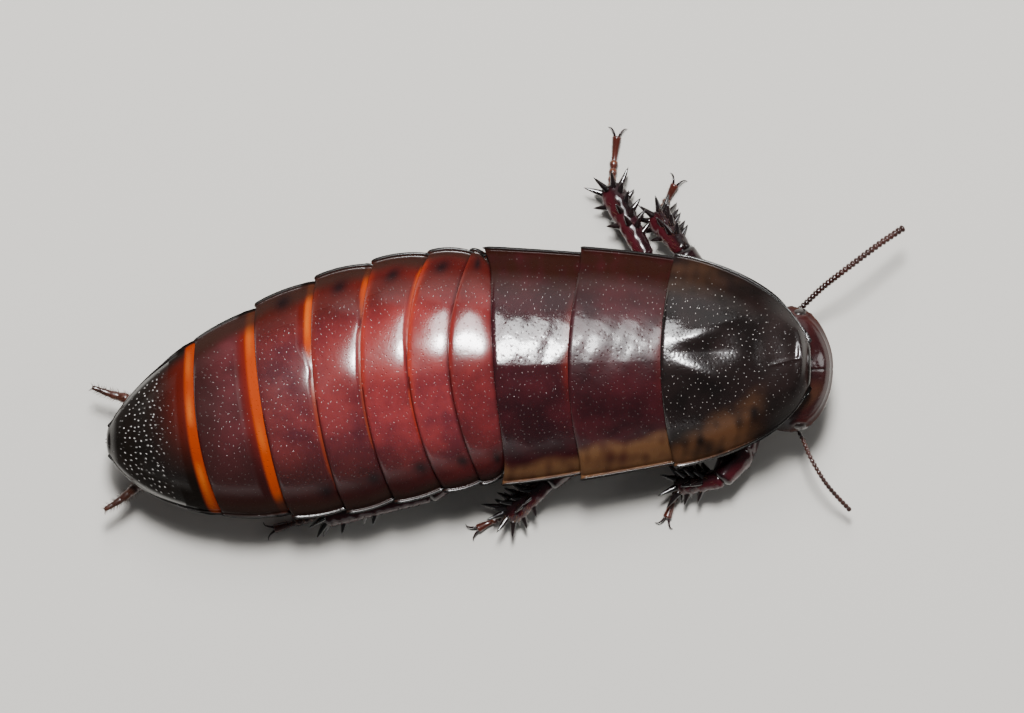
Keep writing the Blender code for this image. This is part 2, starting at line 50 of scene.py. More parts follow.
# The photo's scale and place: millimetres in a pixel, and the pixel of the body coordinates' zero.
PIXEL = 0.037
PHOTO_SIZE = (1024, 713)
PHOTO_ZERO = (490, 366)
PHOTO_LEVEL = 3.3  # height at which the scale was measured
CAMERA_DISTANCE = 300.0

# The midline's bend to the right over the abdomen and to the left in front, and how far rings turn with it.
SIDE_DRIFT = 2.78
DRIFT_START = 0.5
DRIFT_LENGTH = 15.0
TURN_SHARE = 0.55
FRONT_DRIFT = 0.2
FRONT_LENGTH = 7.0

DOME_POWER = 2.1
THORAX_DOME = 0.85
ABDOMEN_DOME = 0.72
FLANGE = 1.045  # how much wider a plate is than its dome
ARC = 1.15  # a dome's arc is this much longer than its width
SLANT = 1.7  # distance along the steep flank for each millimetre across
BELLY_SLANT = 1.4
SHELL = 0.16  # thickness of a plate
LAP = 0.6  # length of a plate's front that lies under the plate before it
LAP_DIP = 0.2
LAP_TUCK = 0.25  # how much narrower the lap ends
PITCH = 0.035  # distance between the mesh lines of a pitted plate
COARSE_PITCH = 0.05
PIT_RADIUS = 0.042
PIT_DEPTH = 0.008
PORE_RADIUS = 0.035
PORE_PITCH = 0.23

HOOD_REAR = 6.25
HOOD_FRONT = 11.88
HOOD_BOW = 0.6
HOOD_SHIFT = 0.15  # how far the front's middle lies to the right of the midline
HOOD_MIDDLE = 0.3  # how far to the left its ridges part
TAIL_TIP = -14.28
# The hood and the tail plate: half width and its rounding, back heights and the power of their fall, margin
# heights and their power, and the powers of the blunt tip and the dome.
HOOD = (4.0, (1.35, 0.44), (6.10, 4.95), 2.4, (3.35, 4.60), 2, 30, THORAX_DOME)
TAIL = (3.30, (1.25, 0.58), (4.76, 3.10), 1.7, (2.98, 2.72), 1, 14, ABDOMEN_DOME)

# Hind edge (place on the midline, bow, skew and drawn-back corners), half widths, back heights and margin
# heights, front then hind.
PLATES = {
    "mesonotum": (2.86, 0.72, 0.0, 0.23, 3.86, 4.36, 5.92, 6.12, 3.35, 3.40),
    "metanotum": (0.12, 0.38, -0.063, 0.39, 4.14, 4.46, 5.95, 6.06, 3.35, 3.35),
    "tergite_1": (-1.51, 1.05, 0.0, 0.0, 4.10, 4.40, 5.86, 5.93, 3.30, 3.28),
    "tergite_2": (-3.01, 0.93, 0.02, -0.15, 4.32, 4.50, 5.80, 5.80, 3.26, 3.25),
    "tergite_3": (-4.71, 0.76, 0.03, -0.04, 4.40, 4.54, 5.72, 5.68, 3.23, 3.21),
    "tergite_4": (-6.42, 0.46, 0.01, -0.12, 4.40, 4.46, 5.60, 5.54, 3.19, 3.16),
    "tergite_5": (-8.37, 0.25, -0.026, -0.15, 4.28, 4.08, 5.46, 5.32, 3.14, 3.10),
    "tergite_6": (-10.79, 0.35, -0.038, 0.0, 3.90, 3.34, 5.22, 4.90, 3.08, 3.00),
}
TAIL_GRAINS = (0.2, 77, 0.95)  # spacing, seed and share of its raised grains
GRAIN_HEIGHT = 0.034

# Soft skin in front of an abdominal plate: its width, and the stretches across where it shows (from t, to t,
# strength); then the strength of the red fade behind it, of the see-through hind rim and of the painted
# brighter red that stands in for lamp light shining through on the left, and the width of the darker sides,
# partly darker margin and partly painted shade.
ABDOMEN_LOOK = {
    "tergite_1": (0.0, (), 0.4, 0.3, 0.35, 0.45),
    "tergite_2": (0.0, (), 0.3, 0.6, 0.5, 0.55),
    "tergite_3": (0.12, ((1.0, 4.0, 0.6), (-2.6, -0.4, 0.5)), 0.3, 0.45, 0.5, 0.7),
    "tergite_4": (0.16, ((2.6, 4.5, 0.85), (-2.5, 2.2, 0.3)), 0.3, 0.3, 0.35, 0.8),
    "tergite_5": (0.21, ((1.3, 5.0, 1.0), (-3.4, 1.0, 0.35)), 0.5, 0.0, 0.0, 0.9),
    "tergite_6": (0.33, ((-4.4, 4.6, 1.0),), 0.9, 0.0, 0.0, 1.0),
    "tergite_7": (0.33, ((-3.7, 4.0, 1.0),), 0.55, 0.0, 0.0, 1.0),
}
# How much darker T5 and T6 get towards the hind rim, added into the painted shade mark.
HIND_DARKENING = {"tergite_5": 0.35, "tergite_6": 0.85}
FADE_LENGTH = {"tergite_7": 0.8}
SHORT_FADE = 0.28

# Front and rear end of each plate between the legs.
CHEST_PLATES = {
    "prosternum": (9.1, 6.35),
    "mesosternum": (6.05, 3.1),
    "metasternum": (2.8, 0.3),
}
BELLY_FRONT = 0.15
BELLY_PITCH = 0.07
BELLY_SHARE = 0.94  # a belly plate's width as a share of its back plate's
CORE_FRONT = HOOD_FRONT - 0.7  # the soft body's ends
CORE_REAR = -13.6
CORE_BLUNT = 0.5
SIDE_PLATES = np.array((0.8, 1.9, 3.7, 4.9, 7.0, 8.3))  # where the soft thorax has small hard plates
# Before and behind the plates: place, half width, back, margin and belly height of the soft body.
CORE_NECK = [(HOOD_FRONT, 0.9, 4.6, 4.2, 2.6), (10.8, 1.4, 5.0, 4.0, 2.3), (9.0, 2.2, 5.6, 3.6, 1.9),
             (6.3, 2.8, 6.0, 3.35, 1.75)]
CORE_TAIL = [(-12.6, 2.05, 4.4, 2.9, 1.95), (-13.7, 1.0, 3.6, 2.8, 2.2)]

# The head hangs under the hood: height, middle, half depth and half width of each ring.
HEAD_RINGS = [
    (4.06, 11.2, 0.60, 0.80),
    (3.74, 11.2, 1.18, 1.45),
    (3.36, 11.15, 1.47, 1.98),
    (2.95, 11.1, 1.60, 2.30),
    (2.45, 11.0, 1.48, 2.24),
    (1.95, 10.75, 1.20, 1.86),
    (1.55, 10.5, 0.90, 1.36),
    (1.25, 10.35, 0.66, 1.02),
]
HEAD_SLOTS = ("head", "eye", "mouthparts")
HEAD_SIDE = -0.12  # these lie a little to the right
EYE_CENTRE = (11.42, 2.02, 2.68)
EYE_HALF = (0.42, 0.27, 0.66)
EYE_DENT = (0.85, -0.35, -0.4)  # its direction from the eye's middle
SOCKET = (11.22, 1.72, 2.05)  # where a feeler leaves the head
FORK_HEIGHT = 3.0  # where the seam down the front of the head forks
BROW_HEIGHT = 3.2
CROWN_HEIGHT = 3.5  # of the finer line above the brow
LIP_HEIGHT = 1.62  # of the groove above the upper lip
SIDES = ((1, "left"), (-1, "right"))
# Mouth pieces: middle (x, y), bottom, half thickness and half width.
LABRUM = (10.8, 0.0, 0.4, 0.2, 0.74)
LABIUM = (9.72, 0.0, 0.55, 0.18, 0.6)
JAW_RADIUS = 0.36
JAW_ROUTE = [(10.25, 0.62, 1.5), (10.3, 0.7, 1.05), (10.3, 0.5, 0.6), (10.35, 0.2, 0.5)]
# Palps: route, radius and where each joint ends.
PALPS = [
    ([(10.3, 0.75, 1.5), (10.35, 1.25, 0.95), (10.9, 1.6, 0.65), (11.5, 1.55, 0.52), (11.95, 1.2, 0.4)],
     0.15, (0.1, 0.32, 0.58, 0.78, 1.0)),
    ([(9.76, 0.36, 0.85), (10.1, 0.7, 0.55), (10.7, 0.85, 0.42), (11.15, 0.7, 0.32)], 0.1, (0.3, 0.62, 1.0)),
]

# Each feeler's route, its radii and its beads' pitches, both from root to tip.
FEELERS = {
    "antenna_left": ([(10.95, 1.55, 2.05), (11.75, 2.35, 2.25), (12.4, 2.97, 2.65), (13.2, 3.6, 3.1),
                      (14.4, 4.5, 2.95), (15.36, 5.14, 2.6)], (0.115, 0.14), (0.165, 0.185)),
    "antenna_right": ([(10.95, -1.55, 2.0), (11.55, -2.6, 2.1), (11.95, -3.5, 2.25), (12.55, -4.45, 1.85),
                       (13.43, -5.4, 1.1)], (0.078, 0.095), (0.15, 0.2)),
}
FEELER_BASE = 0.75  # length of the stout joints at the root
FEELER_STOUT = (0.19, 0.14)  # their radii
CERCUS_RADII = (0.3, 0.08)
CERCUS_RINGS = 7
CERCI = {
    "cercus_left": ((-12.6, -1.6, 2.3), (-13.5, -1.22, 1.9), (-14.1, -1.05, 1.8), (-14.8, -0.79, 1.85)),
    "cercus_right": ((-12.3, -3.9, 2.3), (-13.15, -4.5, 1.9), (-13.7, -4.95, 1.8), (-14.35, -5.35, 1.8)),
}

# Leg joints: coxa root, coxa tip, knee, shin end and claw end.
LEGS = {
    "fore_left": ((9, 0.95, 1), (8.1, 2.2, 0.95), (7.18, 4.29, 1.75), (6.29, 5.55, 0.65), (6.92, 6.8, 0.2)),
    "mid_left": ((6, 0.95, 1), (4.7, 2.1, 0.95), (5.77, 4.1, 1.7), (4.51, 6.59, 0.65), (4.74, 8.6, 0.2)),
    "hind_left": ((2.5, 0.95, 1), (0.9, 2.1, 0.95), (-2.2, 3.5, 1.2), (-6.4, 2.2, 0.65), (-8.2, 1.5, 0.2)),
    "fore_right": ((8.9, -0.95, 1), (9.95, -2.15, 1), (8.6, -4.2, 1.7), (7.1, -4.35, 0.65), (6.6, -5.7, 0.2)),
    "mid_right": ((5.9, -0.95, 1), (4.3, -2.1, 0.95), (2.15, -4.3, 1.65), (0.7, -5.5, 0.65),
                  (-0.5, -6.1, 0.2)),
    "hind_right": ((2.5, -0.95, 1), (0.7, -2.1, 0.95), (-2.3, -4.75, 1.55), (-6.3, -5.55, 0.65),
                   (-8.1, -6.1, 0.2)),
}
# Radii along each length of a leg, at even steps, and its depth as a share of its width.
COXA_SIZES, COXA_FLAT = (0.78, 0.98, 0.84, 0.5), 0.52
KNOB_SIZES = (0.3, 0.36, 0.3)
FEMUR_SIZES, FEMUR_FLAT = (0.32, 0.56, 0.62, 0.5, 0.4), 1.15
SHIN_SIZES, SHIN_FLAT = (0.32, 0.4, 0.46, 0.5, 0.46), 0.85
# Rows of thorns: turn round the limb in degrees, and places along it.
SHIN_THORN_ROWS = [(178, (0.5, 0.78)), (8, (0.3, 0.45, 0.6, 0.75)), (48, (0.37, 0.54, 0.7, 0.84)),
                   (95, (0.42, 0.62)), (215, (0.6, 0.8)), (325, (0.45, 0.65, 0.8)),
                   *((turn, (0.93,)) for turn in (160, 110, 70, 20, 335, 215))]
FEMUR_THORN_ROWS = [(235, (0.5, 0.66, 0.8)), (300, (0.58, 0.74, 0.88))]
FEMUR_THORN, SHIN_THORN = (0.34, 0.07), (0.55, 0.15)  # length and radius
FOOT_JOINTS = (0.15, 0.29, 0.43, 0.57, 1.0)
FOOT_HEIGHTS = (0.6, 0.3, 0.15, 0.19)
CLAW_RADIUS = 0.055
# A claw's route from the foot's end: ahead of it, to its side and above it.
CLAW_ROUTE = [(-0.1, 0.05, 0), (0.12, 0.13, 0.03), (0.27, 0.24, -0.03), (0.3, 0.36, -0.16)]


def hexcolour(code):
    """An sRGB hex colour as linear RGBA."""
    values = np.array([int(code[i:i + 2], 16) / 255 for i in (1, 3, 5)])
    linear = np.where(values <= 0.04045, values / 12.92, ((values + 0.055) / 1.055) ** 2.4)
    return (*linear.tolist(), 1.0)


def unit(x):
    """x, held between 0 and 1."""
    return np.clip(x, 0, 1)


def mix(ends, u):
    """The value at u on the straight line between two ends."""
    return ends[0] + (ends[1] - ends[0]) * u


def ease(x, low, high):
    """0 below low, 1 above high, and 3u^2 - 2u^3 between."""
    u = unit((x - low) / (high - low))
    return u * u * (3 - 2 * u)


def between(x, start, full, last, end):
    """1 from full to last, easing to 0 at start and at end."""
    return ease(x, start, full) * (1 - ease(x, last, end))


def bell(x, width):
    """exp(-(x / width)^2)."""
    return np.exp(-(x / width) ** 2)


def blunted(distance, rim):
    """sqrt(1 - (1 - distance / rim)^2), which rounds a form off over its last rim, and is 1 inside it."""
    return np.sqrt(1 - (1 - unit(distance / rim)) ** 2)


def midline(s):
    """Sideways place of the midline at s, and each ring's turn.

    It lies right by the drift times a smooth step towards the tail, and left by a small one towards the head.
    """
    u = unit((DRIFT_START - s) / DRIFT_LENGTH)
    slope = SIDE_DRIFT / DRIFT_LENGTH * 6 * u * (1 - u)
    side = FRONT_DRIFT * ease(s, 0, FRONT_LENGTH) - SIDE_DRIFT * u * u * (3 - 2 * u)
    return side, TURN_SHARE * np.arctan(slope)


def laid(s, t, z):
    """Body coordinates to millimetres along the bent midline: across it by t, turned by the ring's turn."""
    s, t, z = np.broadcast_arrays(s, t, z)
    side, turn = midline(s)
    return np.stack([s - t * np.sin(turn), side + t * np.cos(turn), z], -1)


def ripple(x, y, length, seed):
    """Slow waves: the mean of six sines of about this wavelength in seeded directions."""
    draw = np.random.default_rng(seed)
    total = 0 * (x + y)
    for _ in range(6):
        angle, phase = draw.uniform(0, 2 * np.pi, 2)
        pitch = length * draw.uniform(0.6, 1.6)
        total = total + np.sin((x * np.cos(angle) + y * np.sin(angle)) * 2 * np.pi / pitch + phase)
    return total / 6


def dots(x, y, spacing, radius, seed, share):
    """Round dots (1 - (r / radius)^2)^2, one at a seeded place in this share of a grid's cells."""
    draw = np.random.default_rng(seed)
    place = draw.uniform(0.15, 0.85, (64, 64, 2))
    size = draw.uniform(0.75, 1.25, (64, 64))
    size = np.where(draw.uniform(0, 1, (64, 64)) < share, size, 1e-6)
    cx, cy = np.floor(x / spacing).astype(int), np.floor(y / spacing).astype(int)
    total = np.zeros_like(x)
    for i in (-1, 0, 1):
        for j in (-1, 0, 1):
            a, b = (cx + i) % 64, (cy + j) % 64
            dx = x - (cx + i + place[a, b, 0]) * spacing
            dy = y - (cy + j + place[a, b, 1]) * spacing
            reach = (radius * size[a, b]) ** 2
            total = np.maximum(total, unit(1 - (dx * dx + dy * dy) / reach) ** 2)
    return total


def along(length, pitch, edge):
    """Places from 0 to length, about pitch apart, closer together where the rim rounds off at each end."""
    rim = edge * (1 - np.cos(np.linspace(0, np.pi / 2, 5)))[:-1]
    middle = np.linspace(edge, length - edge, max(4, int((length - 2 * edge) / pitch)))
    return np.concatenate([rim, middle, length - rim[::-1]])


def linked(name, data):
    """A new object in the scene."""
    thing = bpy.data.objects.new(name, data)
    bpy.context.scene.collection.objects.link(thing)
    return thing


def new_piece(name, points, faces, finish, slot, marks):
    """A smooth mesh piece from points in millimetres, its faces turned outwards, riding on the body.

    It replaces the solid of its own name where there is one.
    """
    solid = name in bpy.data.objects
    a, b, c = (points[faces[:, k]] for k in (0, 1, 2))
    volume = (np.cross(a, b) * c).sum()
    if faces.shape[1] == 4:
        volume += (np.cross(a, c) * points[faces[:, 3]]).sum()
    if volume < 0:
        faces = faces[:, ::-1]
    if slot in HEAD_SLOTS:
        points = points + (0, HEAD_SIDE, 0)
    mesh = bpy.data.meshes.new(name)
    mesh.from_pydata(((points + ORIGIN) * MM).tolist(), [], faces.tolist())
    mesh.materials.append(finish)
    for mark, values in marks.items():
        layer = mesh.attributes.new(mark, "FLOAT", "POINT")
        layer.data.foreach_set("value", values.astype(np.float32))
    mesh.shade_smooth()
    piece = linked(name, mesh)
    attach(piece, "root")
    if solid:
        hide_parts(name)


def quads(rows, columns, wrap=False):
    """Quads of a grid of points, joined round its columns where it wraps."""
    i = np.arange(rows - 1)[:, None]
    j = np.arange(columns if wrap else columns - 1)[None, :]
    k = (j + 1) % columns
    low = i * columns
    high = low + columns
    return np.stack([low + j, low + k, high + k, high + j], -1).reshape(-1, 4)


def scaled(vectors):
    """Vectors scaled to a length of 1."""
    return vectors / np.maximum(np.linalg.norm(vectors, axis=-1, keepdims=True), 1e-12)


def normals(grid):
    """Unit normals of a grid of points: the cross product of its rows' and columns' differences."""
    return scaled(np.cross(np.gradient(grid, axis=1), np.gradient(grid, axis=0)))


def shell(name, s, t, z, edge, finish, slot, marks, thick=SHELL):
    """A closed shell below a surface, or above it where thick is negative, its rim rounded as a half ellipse.

    The one skin is the surface moved in by half of thick times (1 - f), the other by half of thick times
    (1 + f), where f = sqrt(1 - (1 - e / thick)^2) and e is the distance to the rim.
    """
    grid = laid(s, t, z)
    rows, columns = grid.shape[:2]
    reach = abs(thick) / 2
    n = normals(grid)
    n = n * reach * np.sign(n[..., 2].mean() * thick)
    f = blunted(edge, abs(thick))[..., None]
    top, bottom = grid - n * (1 - f), grid - n * (1 + f)
    rim = np.ones((rows, columns), bool)
    rim[1:-1, 1:-1] = False
    count = rows * columns
    lower = np.arange(count).reshape(rows, columns)
    lower[~rim] = count + np.arange((~rim).sum())
    top_faces = quads(rows, columns)
    bottom_faces = lower.ravel()[top_faces][:, ::-1]
    points = np.vstack([top.reshape(-1, 3), bottom[~rim]])
    values = {mark: np.concatenate([v.ravel(), v[~rim]]) for mark, v in marks.items()}
    new_piece(name, points, np.vstack([top_faces, bottom_faces]), finish, slot, values)


def fit(tree, socket, value):
    """Gives a shader's socket another socket to follow, a hex colour or a constant."""
    if isinstance(value, bpy.types.NodeSocket):
        tree.links.new(value, socket)
    else:
        socket.default_value = hexcolour(value) if isinstance(value, str) else value


def add(tree, kind, settings=None, **inputs):
    """A shader node of this kind with its own settings, its inputs given by name or, as _0, by number."""
    made = tree.nodes.new(kind)
    for key, value in (settings or {}).items():
        setattr(made, key, value)
    for key, value in inputs.items():
        fit(tree, made.inputs[int(key[1:]) if key[0] == "_" else key], value)
    return made


def remap(tree, value, low, high, start=0.0, end=1.0, kind="LINEAR"):
    """A value that goes from low to high while the given one goes from start to end."""
    return add(tree, "ShaderNodeMapRange", {"interpolation_type": kind}, _0=value, _1=start, _2=end, _3=low,
               _4=high).outputs[0]


def blend(tree, factor, first, second):
    """Two colours mixed by factor. Each is a socket or a hex colour."""
    return add(tree, "ShaderNodeMix", {"data_type": "RGBA"}, _0=factor, _6=first, _7=second).outputs[2]


def marked(tree, mark):
    """A mark of the mesh, from 0 to 1."""
    return add(tree, "ShaderNodeAttribute", {"attribute_name": mark}).outputs["Fac"]


def cuticle(name, base, mottle, rough=0.2, coat=0.4, coat_rough=0.12, shine=0.5, patch_mm=1.2, bump_mm=0.07,
            bump=0.12, depth=0.0, pore_glints=0.0, matt=False, **layers):
    """Insect cuticle: a hard, waxy, see-through skin over dark pigment, so a gloss coat over mottled colour.

    The mottling is noise of patch_mm between two near colours, under a fine bump of bump_mm, and each layer
    is a hex colour that covers it where the mesh's mark of that name is high. The pore strength adds pores:
    pinpricks, one in each cell of a Voronoi pattern, about half of them with a pale dot of that strength, a
    painted glint of the lamp, where the mesh's glint mark is high. Coat is the waxy film over all, coat_rough
    its blur, and shine the mirror strength below it; with matt, both go where the mark "matt" is high. Depth
    is the share of light that travels inside.
    """
    finish = bpy.data.materials.new(name)
    finish.use_nodes = True
    tree = finish.node_tree
    place = add(tree, "ShaderNodeTexCoord").outputs["Object"]
    patches = add(tree, "ShaderNodeTexNoise", Vector=place, Scale=1 / (patch_mm * MM), Detail=3.0).outputs[0]
    colour = blend(tree, remap(tree, patches, 0.0, 1.0, 0.36, 0.68), base, mottle)
    bumps = add(tree, "ShaderNodeTexNoise", Vector=place, Scale=1 / (bump_mm * MM), Detail=2.0).outputs[0]
    lift = add(tree, "ShaderNodeBump", Strength=bump, Distance=0.02 * MM, Height=bumps).outputs[0]
    if pore_glints:
        cells = add(tree, "ShaderNodeTexVoronoi", {"voronoi_dimensions": "2D"}, Vector=place,
                    Scale=1 / (PORE_PITCH * MM))
        away = cells.outputs["Distance"]
        # About half of the pores get a pale dot: a painted glint, standing in for the lamp caught in the
        # pore.
        glint_strength = remap(tree, cells.outputs["Color"], 0.0, pore_glints, 0.4, 0.7)
        size = PORE_RADIUS / PORE_PITCH
        glint_dot = remap(tree, away, glint_strength, 0.0, 0.2 * size, 0.75 * size, "SMOOTHSTEP")
        glint_dot = add(tree, "ShaderNodeMath", {"operation": "MULTIPLY"}, _0=glint_dot, _1=marked(tree, "waxed"))
        colour = blend(tree, glint_dot.outputs[0], colour, "#B4AEA8")
        prick = remap(tree, away, 0.0, 1.0, 0.0, size, "SMOOTHSTEP")
        lift = add(tree, "ShaderNodeBump", Strength=1.0, Distance=0.4 * PORE_RADIUS * MM, Height=prick,
                   Normal=lift).outputs[0]
    for mark, code in layers.items():
        colour = blend(tree, marked(tree, mark), colour, code)
    sheen = remap(tree, patches, rough * 0.8, rough * 1.25)
    if matt:
        mask = marked(tree, "matt")
        sheen = add(tree, "ShaderNodeMix", _0=mask, _2=sheen, _3=0.55).outputs[0]
        coat = remap(tree, mask, coat, 0.0)
        shine = remap(tree, mask, shine, 0.02)
    look = {"Base Color": colour, "Normal": lift, "Roughness": sheen, "IOR": 1.45, "Coat Weight": coat,
            "Coat Roughness": coat_rough, "Specular IOR Level": shine}
    if depth:
        look.update({"Subsurface Weight": depth, "Subsurface Radius": (0.6, 0.15, 0.08),
                     "Subsurface Scale": 0.4 * MM})
    for socket, value in look.items():
        fit(tree, tree.nodes["Principled BSDF"].inputs[socket], value)
    return finish


# Sclerotized cuticle, tanned almost black: the deepest and glossiest surface, brown only at its flanks,
# mostly the right; that brown is partly see-through margin and partly a painted reflection of brown ground,
# and its pale pore dots are painted glints.
HOOD_CUTICLE = cuticle("black hood cuticle", "#100B0A", "#1C1312", coat=0.28, pore_glints=0.6, matt=True,
                       flank="#583A26", front="#2A100A", edge="#0A0807")
# A little thinner, so a maroon depth shows under the gloss. The brown on the right flank is partly
# see-through margin and partly a painted reflection of brown ground; the left flank is darkened as painted
# shade, and the pale pore dots are painted glints.
THORAX_CUTICLE = cuticle("maroon thorax cuticle", "#230B0F", "#371116", depth=0.03, pore_glints=0.4, matt=True,
                         fore="#5E1A12", flank="#66462E", upper="#240F0A", edge="#0D0908")
# Thin abdominal cuticle: wine red where the body shows through, orange where soft skin shows between plates.
# Base, mottling, hind rim and skin of each plate.
ABDOMEN_TONES = {
    "tergite_1": ("#44181C", "#642123", "#8E2A1A", "#8A2008"),
    "tergite_2": ("#562026", "#7C2D2E", "#A03012", "#8A2008"),
    "tergite_3": ("#562025", "#7A2C2E", "#962C10", "#8E2206"),
    "tergite_4": ("#441B21", "#642729", "#7E2A18", "#963408"),
    "tergite_5": ("#461C21", "#652829", "#50181A", "#96360C"),
    "tergite_6": ("#301517", "#4A1F22", "#1D0E11", "#8E320C"),
    "tergite_7": ("#0E0B09", "#16100D", "#0E0A08", "#7E2A0C"),
}
# Over each plate's own colours lie layers of painted light: a brighter red left of the midline where lamp
# light shines through, painted shade on the right and along the left flank, darker sides partly shaded, and
# pale dots on pores and tail grains as painted glints.
ABDOMEN_CUTICLE = {
    name: cuticle("abdomen cuticle " + name[-1], base, mottle, rough=0.18, coat=0.6, coat_rough=0.14,
                  pore_glints=0.5, depth=0.1 if name < "tergite_6" else 0.0, matt=True,
                  glow="#8A1E10", shade="#26100F", upper="#3A0E08", hind=hind, line="#2C080A", fade="#5A140A",
                  skin=skin, pale="#B8641E", dark="#2A1A15", spot="#160C0E", grain="#E0DCD8", edge="#0D0908")
    for name, (base, mottle, hind, skin) in ABDOMEN_TONES.items()
}
# Paler and duller than the back, with a light hind rim.
UNDERSIDE_CUTICLE = cuticle("red-brown belly cuticle", "#3A1811", "#57281A", rough=0.3, coat=0.35,
                            pale="#8A4A28", edge="#24100C")
# Unhardened skin between the plates: matt, wrinkled, and paler than any plate.
SOFT_SKIN = cuticle("soft joint skin", "#3E2418", "#5E3A26", rough=0.5, coat=0.1, bump=0.4, depth=0.1,
                    hard="#220E0A")
# Smooth and warm brown-black, its seams and brow as finer lines.
HEAD_CUTICLE = cuticle("chestnut head cuticle", "#1E0A0C", "#32100F", matt=True,
                       pale="#3A2418", line="#4A2E1C", seam="#100807")
# Hundreds of lenses: black, with a gloss that their grain breaks up.
EYE_GLOSS = cuticle("black compound eye", "#120A09", "#1A0E0C", rough=0.3, coat=0.2, bump_mm=0.045, bump=0.3)
# Lighter brown, black at the biting ends.
MOUTH_CUTICLE = cuticle("brown mouthpart cuticle", "#4A2014", "#6B3320", rough=0.3, tip="#1A0C08")
# Each bead has its own small highlight.
FEELER_CUTICLE = cuticle("dark chestnut feeler cuticle", "#1E0D0A", "#351712", rough=0.28)
# Nearly black, with a painted wine-red sheen on one face, standing in for light coming through.
LEG_CUTICLE = cuticle("maroon-black leg cuticle", "#100708", "#280C13", coat=0.2, patch_mm=0.8, shine=0.35,
                      wine="#44131A", tip="#0B0607")
# The hardest part, so the blackest and most polished.
THORN_CUTICLE = cuticle("black thorn cuticle", "#0B0708", "#180D0D", rough=0.18, coat=0.7)
# Thin and red-brown, with paler pads.
FOOT_CUTICLE = cuticle("red-brown foot cuticle", "#34120C", "#4A1E14", rough=0.28, coat=0.5, tip="#6A3E26")
# Duller than the plates, under its bristles.
CERCUS_CUTICLE = cuticle("dark red-brown cercus cuticle", "#2A120A", "#4A2012", rough=0.35, coat=0.3)
# Thin and dull, catching a little light.
HAIR = cuticle("brown bristles", "#3A2414", "#6A4830", rough=0.45, coat=0.1, bump=0.0)


def dome(q, rounding):
    """Rise of a back plate across it: (1 - |q|^power)^rounding, with a narrow flat flange outside it."""
    return unit(1 - np.abs(q * FLANGE) ** DOME_POWER) ** rounding


def rim_bead(side):
    """The raised bead along a plate's side margin, a bell curve of the distance to it."""
    return 0.085 * bell(side - 0.12, 0.085)


def black_rim(side, end=0.28):
    """1 at a plate's side margin, easing to 0 further in."""
    return 1 - ease(side, 0.16, end)


def tapered(full, u, rounding):
    """full (1 - u^a)^b, the half width of a plate that closes to a point."""
    return full * (1 - u ** rounding[0]) ** rounding[1]


def edge_place(edge, t, q):
    """Where a plate's edge runs: bowed as q squared, skewed as t, and drawn back as q^8 at its corners."""
    middle, bow, skew, corner = edge
    return middle + bow * q * q + skew * t - corner * q ** 8


def plate_axes(length, widest, pitch, lap=LAP):
    """Mesh lines of a back plate: d behind its visible front edge, and q across it from -1 to 1."""
    reach = widest * ARC
    d = along(length + lap, pitch, SHELL)[:, None] - lap
    q = along(2 * reach, pitch * ARC, SHELL)[None, :] / reach - 1
    return np.broadcast_arrays(d, q)


def to_rim(d, q, half, length, lap=LAP, slant=SLANT):
    """Distance to the side margin, and to the nearest rim of all."""
    side = half * (1 - np.abs(q)) * slant
    return side, np.minimum(np.minimum(d + lap, length - d), side)


def end_plate(sizes, length, lap=LAP):
    """The form that the hood and the tail plate share, u running from 0 at the wide end to the tip.

    The half width is full (1 - u^a)^b, and back and margin go from their first to their last height as powers
    of u. The base is the margin with its bead and the lap's dip; the rise over it is the dome, and the tip's
    factor is sqrt(1 - u^n).
    """
    full, rounding, backs, back_power, margins, margin_power, tip_power, dome_power = sizes
    d, q = plate_axes(length, full, PITCH, lap)
    u = np.clip(d / length, 0, 0.9995)
    under = unit(-d / LAP)
    half = tapered(full, u, rounding) - LAP_TUCK * under
    low = mix(margins, u ** margin_power)
    side, edge = to_rim(d, q, half, length, lap)
    side = np.minimum(side, (length - d) * 1.2)
    base = low - LAP_DIP * under ** 1.5 + rim_bead(side)
    rise = (mix(backs, u ** back_power) - low) * dome(q, dome_power)
    return d, q, u, half, side, edge, base, rise, np.sqrt(1 - u ** tip_power)


def crest(u):
    """A plate's swell: 1 at u = 0.24, falling as a parabola to 0 at the hind rim and faster forwards."""
    return 1 - np.where(u > 0.24, (u - 0.24) / 0.76, (0.24 - u) / 0.42) ** 2


def back_plate(name, front, finish, slot, rounding, bulge, side_bulge, pitch, relief, marks):
    """A plate of the back's middle, from under the plate before it to its own hind rim.

    u is 0 at the visible front and 1 at the hind rim, and s runs straight from one edge to the other.
    Half width, back and margin run straight from front to hind value; the sides swell by side_bulge
    sin(pi u)^0.7, and the back by bulge crest(u). The height is margin + (back - margin) dome(q), and
    the lap under the plate before dips by x^1.5.
    """
    sizes = PLATES[name]
    length = front[0] - sizes[0]
    d, q = plate_axes(length, max(sizes[4:6]), pitch)
    u = d / length
    lap = unit(-d / LAP)
    half = mix(sizes[4:6], u) + side_bulge * np.sin(np.pi * unit(u)) ** 0.7 - LAP_TUCK * lap
    t = half * q
    ahead, behind = edge_place(front, t, q), edge_place(sizes[:4], t, q)
    s = np.where(d < 0, ahead - d, mix((ahead, behind), u))
    low = mix(sizes[8:], u)
    top = mix(sizes[6:8], u) + bulge * crest(u)
    side, edge = to_rim(d, q, half, length)
    z = low + (top - low) * dome(q, rounding) - LAP_DIP * lap ** 1.5 + rim_bead(side)
    z = z + relief(name, s, t, d, side, length)
    shell(name, s, t, z, edge, finish, slot, marks(name, s, t, d, side, length))


def flank_streaks(s, t, broad, fine):
    """Light and dark along the brown flanks: broad ripples stretched lengthways, and fine ones."""
    return broad * ripple(0.6 * s, t, 1.1, 6) + fine * ripple(s, t, 0.5, 7)


